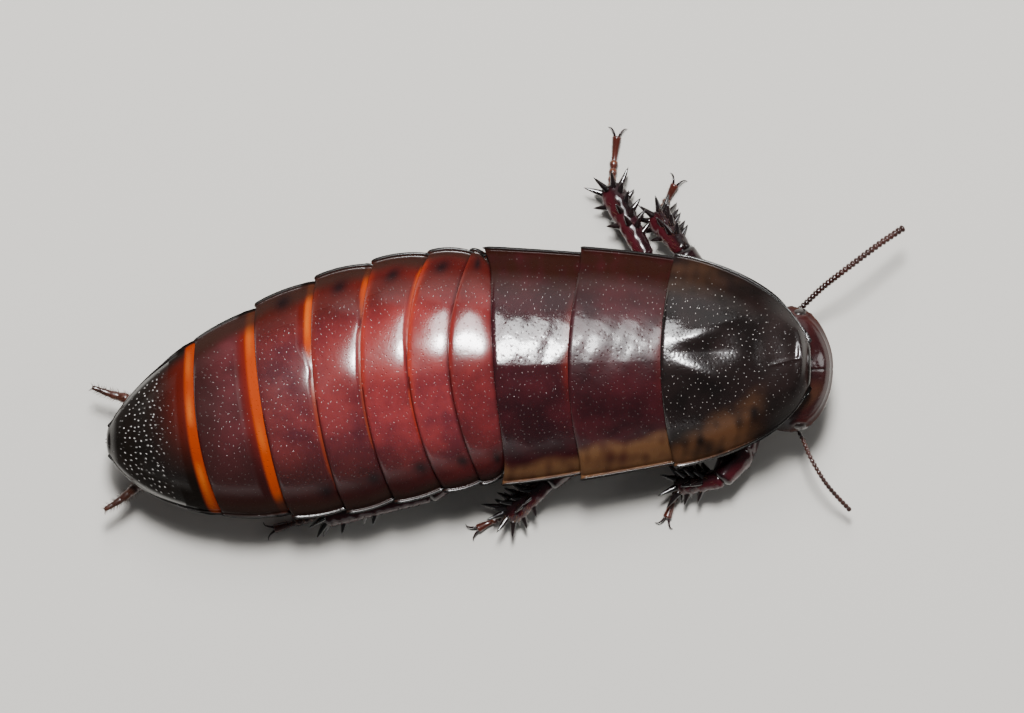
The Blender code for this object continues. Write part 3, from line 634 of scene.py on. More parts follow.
def thorax_relief(name, s, t, d, side, length):
    """Relief of the middle plates: a roof crease along the midline, slow waves and pits, more to the left.

    The roof falls by steep times sqrt(t^2 + 0.03^2) either side of the crease and levels out 1.4 mm away.
    """
    seed = len(name)
    field = ease(side, 0.9, 1.8) * ease(d, 0.05, 0.3) * (0.4 + 0.6 * ease(t, -1.5, 0.3))
    pits = dots(s, t, 0.22, PIT_RADIUS, seed, 0.6) * (field > 0.5)
    waves = (0.026 * ripple(s, t, 1.6, seed) + 0.005 * ripple(s, t, 0.5, seed + 1)) * ease(side, 0.2, 1.0)
    dents = 0.02 * bell(np.hypot(d - 0.5 * length, np.abs(t) - 2.4), 0.5)
    away = np.minimum(np.abs(t), 1.4)
    steep = 0.05 if name == "mesonotum" else 0.1
    roof = -steep * np.sqrt((away * (1 - away / 2.8)) ** 2 + 0.0009)
    return roof + waves - dents - PIT_DEPTH * pits


def thorax_marks(name, s, t, d, side, length):
    """Brown flanks, wider and lighter on the right, partly see-through margin and partly a painted reflection
    of brown ground; painted shade on the left flank; pale pore dots as painted glints, more on the left; a
    redder strip behind the plate before, and a black rim.

    Each mark eases in or falls as a bell curve over its distance, and ripples break up the flanks.
    """
    hind = name == "metanotum"
    start = 0.4 * ripple(s, t, 2.4, 5) - (1.4 if hind else 2.2)
    flank = ease(-side, start - 0.3, start + 0.4)
    streaks = flank_streaks(s, t, 0.5, 0.5)
    return {
        # painted glints: pale pore dots, more on the left where the lamp is, fewer on the brown flank
        "waxed": (0.25 + 0.75 * ease(t, -0.6, 0.4)) * (1 - flank * (t < 0)),
        # brown right flank: partly see-through margin, partly a painted reflection of brown ground
        "flank": flank * (t < 0) * unit(0.85 + streaks),
        # painted shade darkening the left flank
        "upper": unit(ease(-side, -3.9, -0.9) * (0.9 + streaks)) * (t > 0),
        "fore": bell(d, 0.2) * bell(t - 0.5, 1.4) * (0.8 if hind else 0.25),
        "edge": black_rim(side),
        "matt": np.maximum(ease(-side, -3.1, -1.4) * (0.8 + 0.2 * ease(side, 0.2, 0.4)), 0.45 * (not hind)),
    }


def skin_shown(name, t):
    """How far the soft skin before a plate shows at t, from 0 to 1, and its width there."""
    width, stretches = ABDOMEN_LOOK[name][:2]
    shown = 0 * t
    for start, end, strength in stretches:
        shown = shown + strength * between(t, start - 0.5, start + 0.9, end - 0.4, end + 0.2)
    return shown, width * shown + 0.01


def tergite_relief(name, s, t, d, side, length):
    """Relief of an abdominal plate: soft skin in front, lower by a smooth step, then ripples and pits."""
    shown, width = skin_shown(name, t)
    sunk = -0.03 * (1 - ease(d, width * 0.7, width * 1.3 + 0.08)) * (ABDOMEN_LOOK[name][0] > 0)
    field = ease(side, 0.8, 1.6) * ease(d - width, 0.1, 0.3) * ease(length - d, 0.1, 0.25)
    pits = dots(s, t, 0.34, PIT_RADIUS, len(name) + int(name[-1]), 0.35) * (field > 0.5)
    return sunk + 0.012 * ripple(s, t, 1.3, int(name[-1])) * ease(side, 0.2, 1.0) - 0.7 * PIT_DEPTH * pits


def tergite_marks(name, s, t, d, side, length):
    """Marks of an abdominal plate: orange skin and its fade, darker sides, and a dark smudge on each side;
    and
    painted light: brighter red on the left where lamp light shines through, painted shade on the right and on
    the left flank, and pale pore dots as painted glints.

    Each eases in or falls as a bell curve over its distance: d from the front, side from the margin,
    place from the body's straight axis.
    """
    _, _, fade, hind, glow, dark_side = ABDOMEN_LOOK[name]
    shown, width = skin_shown(name, t)
    wine = name < "tergite_6"
    smudges = [bell(np.hypot(d - share * length, t - at), 0.26) for share, at in ((0.5, 3.8), (0.2, -3.4))]
    dark_reach = dark_side * (1 + 0.3 * ripple(s, t, 2.0, 9))
    skin = shown * (1 - ease(d, width * 0.8, width * 1.2)) * ease(side, 0.05, 0.3)
    place = t + midline(s)[0]
    # The hind rim on the right, darkened as painted shade and made matt.
    right_rim = (1 - ease(length - d, 0.04, 0.12)) * (t < 0)
    patches = unit(0.35 * ease(t, 1.6, 3.6) + 0.8 * ripple(s, t, 2.4, 12))
    fading = bell(np.maximum(d - width, 0), FADE_LENGTH.get(name, SHORT_FADE))
    edge = black_rim(side, 0.26)
    behind_skin = shown * (1 - ease(d, 1.8 * width, 2.6 * width))
    flank = between(side, 0.2, 0.4, 1.2, 2.8)
    # Painted shade on the right side, fixed in the frame's y where the lamp's light falls off; T5 and T6 also
    # get darker towards the hind rim.
    shade = np.maximum(0.9 * ease(-place, 2.0, 4.6), HIND_DARKENING.get(name, 0) * ease(d / length, 0.35, 0.95))
    return {
        # painted glints: pale pore dots, more on the left where the lamp is
        "waxed": (0.3 + 0.7 * ease(t, -1.0, 0.2)) * ease(side, 0.5, 1.4) * (1 - skin),
        # painted light: brighter red left of the midline, lamp light shining through
        "glow": glow * bell(t - 1.3, 1.6) * bell(d - length * 0.4, length * 0.7),
        "shade": shade * (name < "tergite_7"),
        # painted shade darkening the left flank
        "upper": 0.85 * ease(t, 2.0, 3.4) * wine,
        # darker towards the side margins: partly the margins' own darker cuticle, partly painted shade on the
        # steep sides
        "dark": 0.92 * (1 - ease(side, dark_reach * 0.7, dark_reach * 1.7)),
        "spot": 0.95 * unit(sum(smudges)) * wine,
        "hind": hind * bell(length - d, 0.17) * ease(t, -2.4, 0.8),
        "fade": fade * shown * fading * ease(side, 0.3, 1.2) * ease(place, -4.4, -1.4),
        # dark line at the front edge, the seam under the plate before; on the right also along the hind rim,
        # as painted shade
        "line": np.maximum(0.75 * bell(d, 0.07) * (1 - np.minimum(shown, 1)), 0.7 * right_rim),
        "pale": skin * patches * bell(d - 0.55 * width, 0.3 * width),
        "skin": skin,
        "edge": edge,
        "matt": np.maximum.reduce([behind_skin, flank, 0.9 * right_rim, 0.5 * edge]),
    }


def build_back():
    """The plates of the back behind the hood, each starting under the one before."""
    front = (HOOD_REAR, HOOD_BOW, 0.0, 0.0)
    for name, sizes in PLATES.items():
        if name in ABDOMEN_LOOK:
            slot = "tail_shell" if name == "tergite_6" else "abdomen_shell"
            back_plate(name, front, ABDOMEN_CUTICLE[name], slot, rounding=ABDOMEN_DOME, bulge=0.065,
                       side_bulge=0.12, pitch=COARSE_PITCH, relief=tergite_relief, marks=tergite_marks)
        else:
            back_plate(name, front, THORAX_CUTICLE, "thorax_shell", rounding=THORAX_DOME, bulge=0.05,
                       side_bulge=0.03, pitch=PITCH, relief=thorax_relief, marks=thorax_marks)
        front = sizes[:4]


def build_tail():
    """The last back plate, with raised grains all over its hind part, their tips painted pale as glints."""
    name = "tergite_7"
    front = PLATES["tergite_6"][:4]
    length = front[0] - TAIL_TIP
    d, q, u, half, side, edge, base, rise, tip = end_plate(TAIL, length)
    t = half * q
    s = front[0] - d + (edge_place(front, t, q) - front[0]) * (1 - u)
    field = between(d, 1.1, 1.5, 2.7, 3.0) * ease(side, 0.4, 0.7)
    spacing, seed, share = TAIL_GRAINS
    z = base + rise * tip + GRAIN_HEIGHT * dots(s, t, spacing, 0.06, seed, share) * field
    z = z + tergite_relief(name, s, t, d, side, length)
    marks = tergite_marks(name, s, t, d, side, length)
    marks["matt"] = np.maximum(marks["matt"] * (d < 1.0), 0.95 * between(side, 0.3, 0.6, 1.2, 2.6))
    # Pale dots on the grains' tips: painted glints of the lamp.
    marks["grain"] = dots(s, t, spacing, 0.027, seed, share) * field
    del marks["dark"], marks["waxed"]
    shell(name, s, t, z, edge, ABDOMEN_CUTICLE[name], "tail_shell", marks)


def hood_relief(u, s, t, q):
    """Relief of the hood: ridges that part forwards, a hollow between them, a basin and a crease in front.

    Each is its height times bell curves of the distance to its line, and all of it fades as 1 - q^2.
    """
    parting = 0.62 + 1.75 * (u - 0.14)
    ridges = 0.16 * bell(np.abs(t - HOOD_MIDDLE) - parting, 0.46) * between(u, 0.02, 0.36, 0.36, 0.6)
    hollow = -0.1 * bell(t - 0.36, 0.32) * bell(u - 0.32, 0.2)
    groove = -0.004 * bell(t - HOOD_MIDDLE, 0.04) * bell(u - 0.28, 0.16)
    basin = -0.14 * bell(u - 0.72, 0.12) * bell(t - 0.2, 1.2)
    crease = 0.18 * bell(u - 0.925 + 0.022 * (t - HOOD_MIDDLE) ** 2, 0.027) * bell(t - 0.6, 1.1)
    carina = 0.04 * bell(t - 0.15 + 0.24 * (11.6 - s), 0.07) * between(s, 10.1, 10.6, 11.3, 11.5)
    return (ridges + hollow + groove + basin + crease + carina) * (1 - q * q)


def hood_marks(u, s, t, side):
    """Marks of the hood: brown flanks that ease in over a slanting border, with ripples, partly see-through
    margin and partly a painted reflection of brown ground; pale pore dots as painted glints; a red front and
    a rim.
    """
    streaks = flank_streaks(s, t, 0.6, 0.7)
    border = 2.7 - 0.67 * (s - 7.4) + 0.3 * ripple(s, t, 1.6, 4)
    low_flank = ease(-t, border - 0.4, border + 0.6) * (1 - ease(s, 8.9, 10.4))
    high_flank = ease(t, 2.0, 3.5) * (1 - ease(s, 7.5, 10.0))
    front_middle = bell(t - HOOD_MIDDLE, 1.7) * ease(u, 0.6, 0.8)
    return {
        # painted glints: pale pore dots, fewer on the brown flank
        "waxed": ease(side, 0.9, 1.8) * (1 - 0.8 * low_flank),
        # brown flank: partly see-through margin, partly a painted reflection of brown ground
        "flank": unit(0.8 + streaks) * (low_flank + 0.25 * high_flank),
        "front": 0.6 * ease(u, 0.93, 0.99),
        "edge": black_rim(side),
        "matt": between(side, 0.15, 0.35, 1.3, 2.9) * (1 - front_middle),
    }


def build_hood():
    """The hood over the head, with its relief, and pits all over its middle."""
    d, q, u, half, side, edge, base, rise, tip = end_plate(HOOD, HOOD_FRONT - HOOD_REAR, 0)
    s = HOOD_REAR + d + HOOD_BOW * (1 - u) * q * q
    t = half * q - HOOD_SHIFT * u * u
    z = base + (rise + hood_relief(u, s, t, q)) * tip
    unpitted = bell(u - 0.3, 0.14) * bell(t - 0.35, 0.28)
    field = ease(side, 1.1, 1.9) * (1 - unpitted)
    pits = np.maximum(dots(s, t, 0.165, PIT_RADIUS, 11, 0.9) * (field > 0.5),
                      dots(s, t, 0.33, PIT_RADIUS, 12, 0.4) * (side > 0.2))
    z = z - PIT_DEPTH * pits + 0.015 * ripple(s, t, 1.4, 3) * ease(side, 0.2, 1.0)
    shell("pronotum", s, t, z, edge, HOOD_CUTICLE, "pronotum_shell", hood_marks(u, s, t, side))


def curve(points, pitch):
    """A smooth path through points, in as many numbers as they have: Catmull-Rom cubics of u."""
    points = np.array(points, float)
    ends = np.vstack([2 * points[0] - points[1], points, 2 * points[-1] - points[-2]])
    path = [points[:1]]
    for a, b, c, d in zip(ends, ends[1:], ends[2:], ends[3:]):
        steps = max(2, int(round(np.linalg.norm(c - b) / pitch)))
        u = np.arange(1, steps + 1)[:, None] / steps
        path.append(0.5 * (2 * b + (c - a) * u + (2 * a - 5 * b + 4 * c - d) * u * u
                           + (3 * b - a - 3 * c + d) * u ** 3))
    return np.concatenate(path)


def route(points, pitch, rim):
    """Places along a smooth curve, closer together near its ends, how far along each is, and its blunting.

    The blunting rounds a tube's ends off over rim.
    """
    fine = curve(points, 0.03)
    run = np.concatenate([[0], np.cumsum(np.linalg.norm(np.diff(fine, axis=0), axis=1))])
    at = along(run[-1], pitch, rim)
    path = np.stack([np.interp(at, run, fine[:, k]) for k in range(3)], -1)
    return path, at, blunted(np.minimum(at, run[-1] - at), rim)


def directions(path, up=(0.0, 0.0, 1.0)):
    """Unit vectors ahead along a path, across it and above it."""
    ahead = scaled(np.gradient(path, axis=0))
    across = scaled(np.cross(ahead, up))
    return ahead, across, np.cross(across, ahead)


def circle(sides):
    """Even steps of a whole turn, in radians."""
    return np.arange(sides) * 2 * np.pi / sides


def rings(path, wide, tall, sides, up=(0.0, 0.0, 1.0)):
    """Points round a path: at angle a, wide cos(a) across it and tall sin(a) above it."""
    _, across, above = directions(path, up)
    wide = wide.reshape(len(path), -1) * np.cos(circle(sides))
    tall = tall.reshape(len(path), -1) * np.sin(circle(sides))
    return path[:, None] + wide[..., None] * across[:, None] + tall[..., None] * above[:, None]


def tube(grid, **marks):
    """Points, triangles and marks of a closed tube through rings, whose end rings are one point each.

    A mark is given for each point or for each ring.
    """
    rows, columns = grid.shape[:2]
    index = np.arange(rows * columns).reshape(rows, columns)
    index[0], index[-1] = index[0, 0], index[-1, -1]
    faces = index.ravel()[quads(rows, columns, wrap=True)]
    faces = np.vstack([faces[:, [0, 1, 2]], faces[:, [0, 2, 3]]])
    a, b, c = faces.T
    used, faces = np.unique(faces[(a != b) & (b != c) & (a != c)], return_inverse=True)
    values = {mark: np.broadcast_to(value.reshape(rows, -1), (rows, columns)).ravel()[used]
              for mark, value in marks.items()}
    return grid.reshape(-1, 3)[used], faces.reshape(-1, 3), values


def spikes(roots, tips, radii, sag=0.0, sides=3, cuts=2, taper=1.0):
    """Closed curved cones, one for each root and tip.

    The centre runs root + (tip - root) u + sag sin(pi u / 2)^2 u upwards, and the radius r (1 - u)^taper.
    """
    count = len(roots)
    u = np.linspace(0, 1, cuts + 1)[:-1]
    way = tips - roots
    side = scaled(np.cross(way, (0.31, 0.11, 0.94)))
    other = scaled(np.cross(way, side))
    a = circle(sides)[:, None]
    outward = np.cos(a) * side[:, None] + np.sin(a) * other[:, None]
    fall = np.array((0, 0, sag))
    centre = roots[:, None] + way[:, None] * u[:, None] + fall * (np.sin(np.pi * u / 2) ** 2 * u)[:, None]
    grid = centre[:, :, None] + radii * ((1 - u) ** taper)[:, None, None] * outward[:, None]
    points = np.concatenate([grid.reshape(count, -1, 3), roots[:, None], tips[:, None] + fall], 1)
    j = np.arange(sides)
    k = (j + 1) % sides
    base, end, top = cuts * sides, cuts * sides + 1, (cuts - 1) * sides
    faces = [np.stack([k, j, 0 * j + base], -1), np.stack([top + j, top + k, 0 * j + end], -1)]
    for low in range(0, top, sides):
        high = low + sides
        faces += [np.stack([low + j, low + k, high + k], -1), np.stack([low + j, high + k, high + j], -1)]
    faces = np.concatenate(faces)[None] + (np.arange(count) * points.shape[1])[:, None, None]
    return points.reshape(-1, 3), faces.reshape(-1, 3), {}


def put(name, parts, finish, slot):
    """One piece of several parts' points, triangles and marks. A part without a mark has 0 for it."""
    starts = np.cumsum([0] + [len(points) for points, _, _ in parts])
    names = {mark for _, _, marks in parts for mark in marks}
    marks = {mark: np.concatenate([own.get(mark, np.zeros(len(points))) for points, _, own in parts])
             for mark in names}
    faces = np.concatenate([faces + start for (_, faces, _), start in zip(parts, starts)])
    new_piece(name, np.concatenate([points for points, _, _ in parts]), faces, finish, slot, marks)


def off_skin(path, row, turn):
    """Unit vectors out of a tube at these rows and turns, cos(turn) across and sin(turn) above, and ahead."""
    ahead, across, above = directions(path)
    return np.cos(turn) * across[row] + np.sin(turn) * above[row], ahead[row]


def bristles(path, radii, count, length, lean, seed, share=(0.05, 0.95), thick=0.008):
    """Bristles at seeded places on a tube's skin, pointing out of it and leaning ahead by lean degrees."""
    draw = np.random.default_rng(seed)
    row = (draw.uniform(*share, count) * (len(path) - 1)).astype(int)
    out, ahead = off_skin(path, row, np.radians(draw.uniform(0, 360, count))[:, None])
    lean = np.radians(lean + draw.uniform(-12, 12, count))[:, None]
    roots = path[row] + out * radii[row][:, None] * 0.95
    reach = length * draw.uniform(0.7, 1.25, count)[:, None]
    tips = roots + (np.cos(lean) * out + np.sin(lean) * ahead) * reach
    tips[:, 2] = np.maximum(tips[:, 2], 0.01)
    return spikes(roots, tips, thick)


def body_shape(s):
    """Half width, back, margin and belly height of the soft body at s, straight between the plates' edges."""
    stations = list(CORE_NECK)
    for sizes in PLATES.values():
        rear = sizes[0]
        share = np.interp(rear, (-3, 3), (0.82, 0.72))
        stations.append((rear, share * sizes[5], sizes[7], sizes[9], np.interp(rear, (-11, 0), (1.85, 1.65))))
    stations = np.array(stations + CORE_TAIL)[::-1]
    return [np.interp(s, stations[:, 0], stations[:, k]) for k in range(1, 5)]


def build_core():
    """The soft body inside the plates: an ellipse above and a flatter curve below.

    Fine folds run up its sides, and on the thorax each side has hard plates, raised by bell curves of s.
    """
    s = along(CORE_FRONT - CORE_REAR, 0.06, CORE_BLUNT)[:, None] + CORE_REAR
    wide, back, low, floor = body_shape(s)
    a = circle(160)[None, :]
    cos, sin = np.cos(a), np.sin(a)
    blunt = blunted(np.minimum(s - s[0], s[-1] - s), CORE_BLUNT)
    folds = 1 + 0.014 * np.sin(s * 2 * np.pi / 0.42 + 0.6 * np.sin(a * 9)) * np.abs(cos) ** 3
    nearest = bell(s[..., None] - SIDE_PLATES - 0.25 * sin[..., None], 0.42).max(-1)
    plates = nearest * ease(np.abs(cos), 0.5, 0.8)
    level = low - 0.25
    t = wide * np.sign(cos) * np.abs(cos) ** np.where(sin > 0, 1, 0.7) * (folds + 0.04 * plates) * blunt
    rise = np.where(sin > 0, (back - 0.5 - level) * sin, -(level - floor - 0.12) * np.abs(sin) ** 0.7)
    grid = laid(s, t, level + rise * blunt)
    hard = np.maximum(ease(plates, 0.35, 0.6), ease(-s, 10.8, 12.2))
    put("soft_body", [tube(grid, hard=hard)], SOFT_SKIN, "underside")


def belly_plate(name, front, rear, wide, depth, margin, power=8):
    """A belly plate: flat across the middle, rising as q^2 and, at the sides, as |q|^power to its margin."""
    length = front - rear
    lap = 0.35
    d = along(length + lap, BELLY_PITCH, SHELL)[:, None] - lap
    q = along(2 * max(wide), BELLY_PITCH, SHELL)[None, :] / max(wide) - 1
    d, q = np.broadcast_arrays(d, q)
    u = unit(d / length)
    under = unit(-d / lap)
    half = mix(wide, u) - 0.1 * under
    t = half * q
    floor = mix(depth, u)
    z = floor + 0.45 * q * q + (margin - floor - 0.45) * np.abs(q) ** power + 0.12 * under
    side, edge = to_rim(d, q, half, length, lap, BELLY_SLANT)
    field = ease(side, 0.3, 0.8) * ease(d, 0.05, 0.2)
    pits = dots(front - d, t, 0.3, 0.06, len(name) * 7 + int(abs(rear) * 10), 0.5) * (field > 0.5)
    z = z + 0.02 * pits + 0.015 * ripple(front - d, t, 1.5, 8) * field
    marks = {"pale": 0.8 * ease(d - length, -0.3, -0.05) + 0.35 * bell(t, 1.2),
             "edge": 0.8 * (1 - ease(side, 0.1, 0.5))}
    shell(name, front - d + 0.25 * q * q, t, z, edge, UNDERSIDE_CUTICLE, "underside", marks, -SHELL)


def last_belly_plate(front):
    """The last belly plate: half width = full (1 - u^a)^b as the back's, narrowed for the cerci."""
    length = (front - TAIL_TIP) * 0.88
    lap = 0.3
    d = along(length + lap, 0.06, SHELL)[:, None] - lap
    d, q = np.broadcast_arrays(d, along(6, 0.06, SHELL)[None, :] / 3 - 1)
    u = np.clip(d / (front - TAIL_TIP), 0, 0.999)
    half = (0.88 - 0.4 * u) * tapered(TAIL[0], u, TAIL[1])
    z = 1.8 + 0.3 * u + 0.3 * q * q + 0.35 * np.abs(q) ** 8
    side, edge = to_rim(d, q, half, length, lap, BELLY_SLANT)
    marks = {"pale": 0.4 * ease(d - length, -0.8, -0.1), "edge": 1 - ease(side, 0.05, 0.3)}
    s = front - d + 0.2 * q * q
    shell("sternite_7", s, half * q, z, edge, UNDERSIDE_CUTICLE, "underside", marks, -SHELL)


def build_belly():
    """Belly plates under the abdomen, and the three chest plates between the legs."""
    front = BELLY_FRONT
    for name, sizes in list(PLATES.items())[2:]:
        rear = sizes[0]
        depth = np.interp([front, rear], (-11.2, 0), (1.8, 1.5))
        wide = (BELLY_SHARE * sizes[4], BELLY_SHARE * sizes[5])
        belly_plate("sternite_" + name[-1], front, rear, wide, depth, sizes[9] - 0.1)
        front = rear
    last_belly_plate(front)
    for name, (front, rear) in CHEST_PLATES.items():
        belly_plate(name, front, rear, wide=(1.5, 2.3), depth=(1.7, 1.75), margin=2.5, power=4)


def eye_shape(side):
    """A kidney-shaped eye: an ellipsoid whose inner front edge is dented round the feeler's socket."""
    polar = np.linspace(0, np.pi, 49)[:, None]
    turn = circle(64)[None, :]
    out = np.sin(polar)
    ball = np.stack([out * np.cos(turn), out * np.sin(turn), np.cos(polar) + 0 * turn], -1)
    dent = 1 - 0.16 * bell(np.linalg.norm(ball - EYE_DENT, axis=-1), 0.45)
    return (ball * EYE_HALF * dent[..., None] + EYE_CENTRE) * (1, side, 1)


def build_head():
    """The head capsule hanging under the hood, with its seams, sockets and rims as steps of the surface.

    A ring's cosine is raised to 0.92, and each step is its height times a bell curve of the distance to it.
    """
    sizes = curve(HEAD_RINGS, 0.05)
    first, last = sizes[0], sizes[-1]
    top = [first + (0.09, 0, -first[2], -first[3]), first + (0.07, 0, -0.25, -0.3)]
    bottom = [last + (-0.06, 0, -0.3, -0.5), last + (-0.07, 0, -last[2], -last[3])]
    z, x, depth, wide = np.vstack([top, sizes, bottom]).T[..., None]
    a = circle(220)[None, :] - np.pi
    cos, sin = np.cos(a), np.sin(a)
    grid = np.stack([x + depth * np.sign(cos) * np.abs(cos) ** 0.92, wide * sin, z + 0 * a], -1)
    n = normals(np.concatenate([grid, grid[:, :1]], 1))[:, :-1]
    n = n * np.sign((n * (grid - (10.9, 0, 2.8))).sum(-1).mean())
    y, height = grid[..., 1], grid[..., 2]
    front = ease(cos, 0.0, 0.3)
    fork = np.abs(y) - 1.1 * unit(FORK_HEIGHT - height)
    seam = bell(np.where(height > FORK_HEIGHT, y, fork), 0.035) * front * ease(height, 2.2, 2.4)
    brow = bell(height - BROW_HEIGHT + 0.03 * y * y, 0.05) * ease(cos, -0.2, 0.2)
    second = bell(height - CROWN_HEIGHT + 0.05 * y * y, 0.035) * ease(cos, -0.2, 0.2)
    face_groove = bell(height - LIP_HEIGHT - 0.1 * np.cos(y * 2), 0.04) * front
    eye_gap = np.linalg.norm((np.abs(grid) - EYE_CENTRE) / (np.array(EYE_HALF) + 0.08), axis=-1)
    socket = np.linalg.norm(np.abs(grid) - SOCKET, axis=-1)
    collar = bell(socket - 0.26, 0.06)
    pits = dots(y, height, 0.2, 0.04, 31, 0.4) * front * (height > 1.8)
    lift = (-0.015 * seam + 0.02 * brow + 0.012 * second - 0.04 * face_groove + 0.03 * bell(eye_gap - 1, 0.09)
            + 0.03 * collar - 0.08 * bell(socket, 0.2) - 0.008 * pits + 0.02 * ripple(y, height, 1.3, 6))
    row = np.arange(len(z))[:, None]
    lift = lift * ease(row, 0, 3) * ease(row[::-1], 0, 3)
    marks = {
        "pale": 0.8 * ease(height, 3.6, 3.8) * ease(-y, 0.2, 1.0) + 0.2 * bell(height - 2.0, 0.4),
        "line": np.maximum(0.45 * brow, 0.1 * second),
        "matt": 0.95 * bell(height - 2.95, 0.4) * (1 - 0.7 * ease(cos, 0.6, 0.95)),
        "seam": 0.8 * np.maximum(np.maximum(seam, face_groove), collar),
    }
    put("head", [tube(grid + n * lift[..., None], **marks)], HEAD_CUTICLE, "head")
    for side, word in SIDES:
        put("eye_" + word, [tube(eye_shape(side))], EYE_GLOSS, "eye")


def mouth_plate(name, sizes, top, lean, notch):
    """A lip: an upright plate of oval section, narrowing as 1 - 0.28 u^2, its end notched in two lobes."""
    x, y, bottom, thick, wide = sizes
    u = np.concatenate([[0, 0], np.linspace(0.03, 1, 30), [1.0]])[:, None]
    blunt = np.sqrt(1 - unit((u - 0.72) / 0.28) ** 2)
    blunt[0] = 0
    a = circle(48)[None, :]
    scale = (1 - 0.28 * u * u) * blunt
    drop = notch * bell(np.sin(a), 0.35) * ease(u, 0.6, 1.0)
    grid = np.stack([x + lean * u * u + thick * scale * np.cos(a), y + wide * scale * np.sin(a),
                     mix((top, bottom), u) + drop], -1)
    put(name, [tube(grid, tip=0.7 * ease(u, 0.75, 1.0))], MOUTH_CUTICLE, "mouthparts")


def joint_places(u, ends):
    """How far along its joint each place is, from 0 to 1, and where that joint ends."""
    f, joint, start = 0 * u, 0 * u, 0.0
    for end in ends:
        inside = (u >= start) & (u <= end)
        f = np.where(inside, (u - start) / (end - start), f)
        joint = np.where(inside, end, joint)
        start = end
    return f, joint


def palp(side, points, radius, joints):
    """A palp: each joint's radius swells as sin(pi f)^0.6 over its length, the last one being the fattest."""
    path, at, blunt = route(np.array(points) * (1, side, 1), 0.02, 0.07)
    u = at / at[-1]
    swell = np.sin(np.pi * (joint_places(u, joints)[0] * 0.85 + 0.08)) ** 0.6
    size = radius * (0.55 + 0.45 * swell) * (0.85 + 0.3 * u) * blunt
    return tube(rings(path, size, size, 20)), bristles(path, size, 70, length=0.12, lean=35, seed=61)


def build_mouth():
    """Lip plates, jaws with teeth on their inner side, |sin| long in u, and jointed palps."""
    mouth_plate("labrum", LABRUM, top=1.45, lean=0.06, notch=0.05)
    mouth_plate("labium", LABIUM, top=1.4, lean=-0.05, notch=0.2)
    for side, word in SIDES:
        path, at, blunt = route(np.array(JAW_ROUTE) * (1, side, 1), 0.03, 0.08)
        u = (at / at[-1])[:, None]
        inner = np.cos(circle(24)) * side > 0
        teeth = 1 + 0.22 * np.abs(np.sin(u * 22)) * ease(u, 0.55, 0.7) * inner
        size = JAW_RADIUS * (1 - 0.75 * u ** 2) * blunt[:, None]
        grid = rings(path, size * teeth, size * 0.65, 24, up=(1.0, 0.0, 0.0))
        put("mandible_" + word, [tube(grid, tip=ease(u, 0.6, 0.85))], MOUTH_CUTICLE, "mouthparts")
        limbs, hairs = zip(*(palp(side, *sizes) for sizes in PALPS))
        put("palp_" + word, limbs, MOUTH_CUTICLE, "mouthparts")
        put("palp_hairs_" + word, hairs, HAIR, "mouthparts")


def build_feelers():
    """Feelers: a stout first joint, then beads whose radius swells as |sin|^0.7 from neck to neck."""
    for name, (points, radii, pitches) in FEELERS.items():
        path, at, blunt = route(points, 0.02, 0.06)
        span = at[-1] - FEELER_BASE
        beads = np.maximum(at - FEELER_BASE, 0) / span
        growth = pitches[1] / pitches[0] - 1
        count = round(span / (pitches[0] * growth) * np.log1p(growth))
        phase = count * np.log1p(growth * beads) / np.log1p(growth)
        size = mix(radii, beads ** 0.8) * (0.5 + 0.5 * np.abs(np.sin(np.pi * phase)) ** 0.7)
        joints = 0.7 + 0.3 * np.abs(np.sin(np.pi * at / FEELER_BASE * 1.5)) ** 0.5
        stout = np.where(at < FEELER_BASE * 0.67, *FEELER_STOUT) * joints
        size = np.where(at < FEELER_BASE, stout, size) * blunt
        put(name, [tube(rings(path, size, size, 16))], FEELER_CUTICLE, "feeler")
        hairs = bristles(path, size, 300, length=0.06, lean=40, seed=5, share=(0.15, 1.0), thick=0.005)
        put(name + "_hairs", [hairs], HAIR, "feeler")


def build_cerci():
    """Cerci: short cones of seven rings, each ring swelling towards its end, with long bristles."""
    for name, points in CERCI.items():
        path, at, blunt = route(points, 0.02, 0.05)
        u = at / at[-1]
        swell = np.abs(np.sin(np.pi * u * CERCUS_RINGS)) ** 0.6
        size = mix(CERCUS_RADII, u) * (0.82 + 0.18 * swell) * blunt
        put(name, [tube(rings(path, size, size * 0.85, 24))], CERCUS_CUTICLE, "cercus")
        hairs = bristles(path, size, 260, length=0.2, lean=35, seed=6, share=(0.1, 1.0))
        put(name + "_hairs", [hairs], HAIR, "cercus")


def limb(a, b, sizes, flat, bow=0.0, sides=32, overlap=0.12):
    """A length of a leg from a to b: its path, how far along each ring is, their radii, and their points.

    The radius runs through the given sizes at even steps, the middle is bowed upwards, and ripples dent it.
    """
    way = scaled(b - a)
    middle = [mix((a, b), share) + (0, 0, bow) for share in (0.33, 0.67)]
    path, at, blunt = route([a - way * overlap, *middle, b + way * overlap], 0.04, 0.16)
    u = at / at[-1]
    size = curve(np.array(sizes)[:, None], 0.004)[:, 0]
    size = np.interp(u, np.linspace(0, 1, len(size)), size) * blunt
    grid = rings(path, size, size * flat, sides)
    lumps = 1 + 0.07 * ripple(grid[..., 0] + grid[..., 2], grid[..., 1] - grid[..., 2], 0.45, 7)
    return path, u, size, path[:, None] + (grid - path[:, None]) * lumps[..., None]


def leg_tube(grid, tip):
    """A limb's tube, black at its tip and, on the face round its left side, wine red by a smooth step: a
    painted sheen of light coming through.
    """
    # Painted sheen: wine red on one face of the limb.
    wine = 0.6 * ease(np.cos(circle(grid.shape[1]) - 2.6), 0.35, 0.9)
    return tube(grid, tip=tip, wine=np.broadcast_to(wine, grid.shape[:2]))


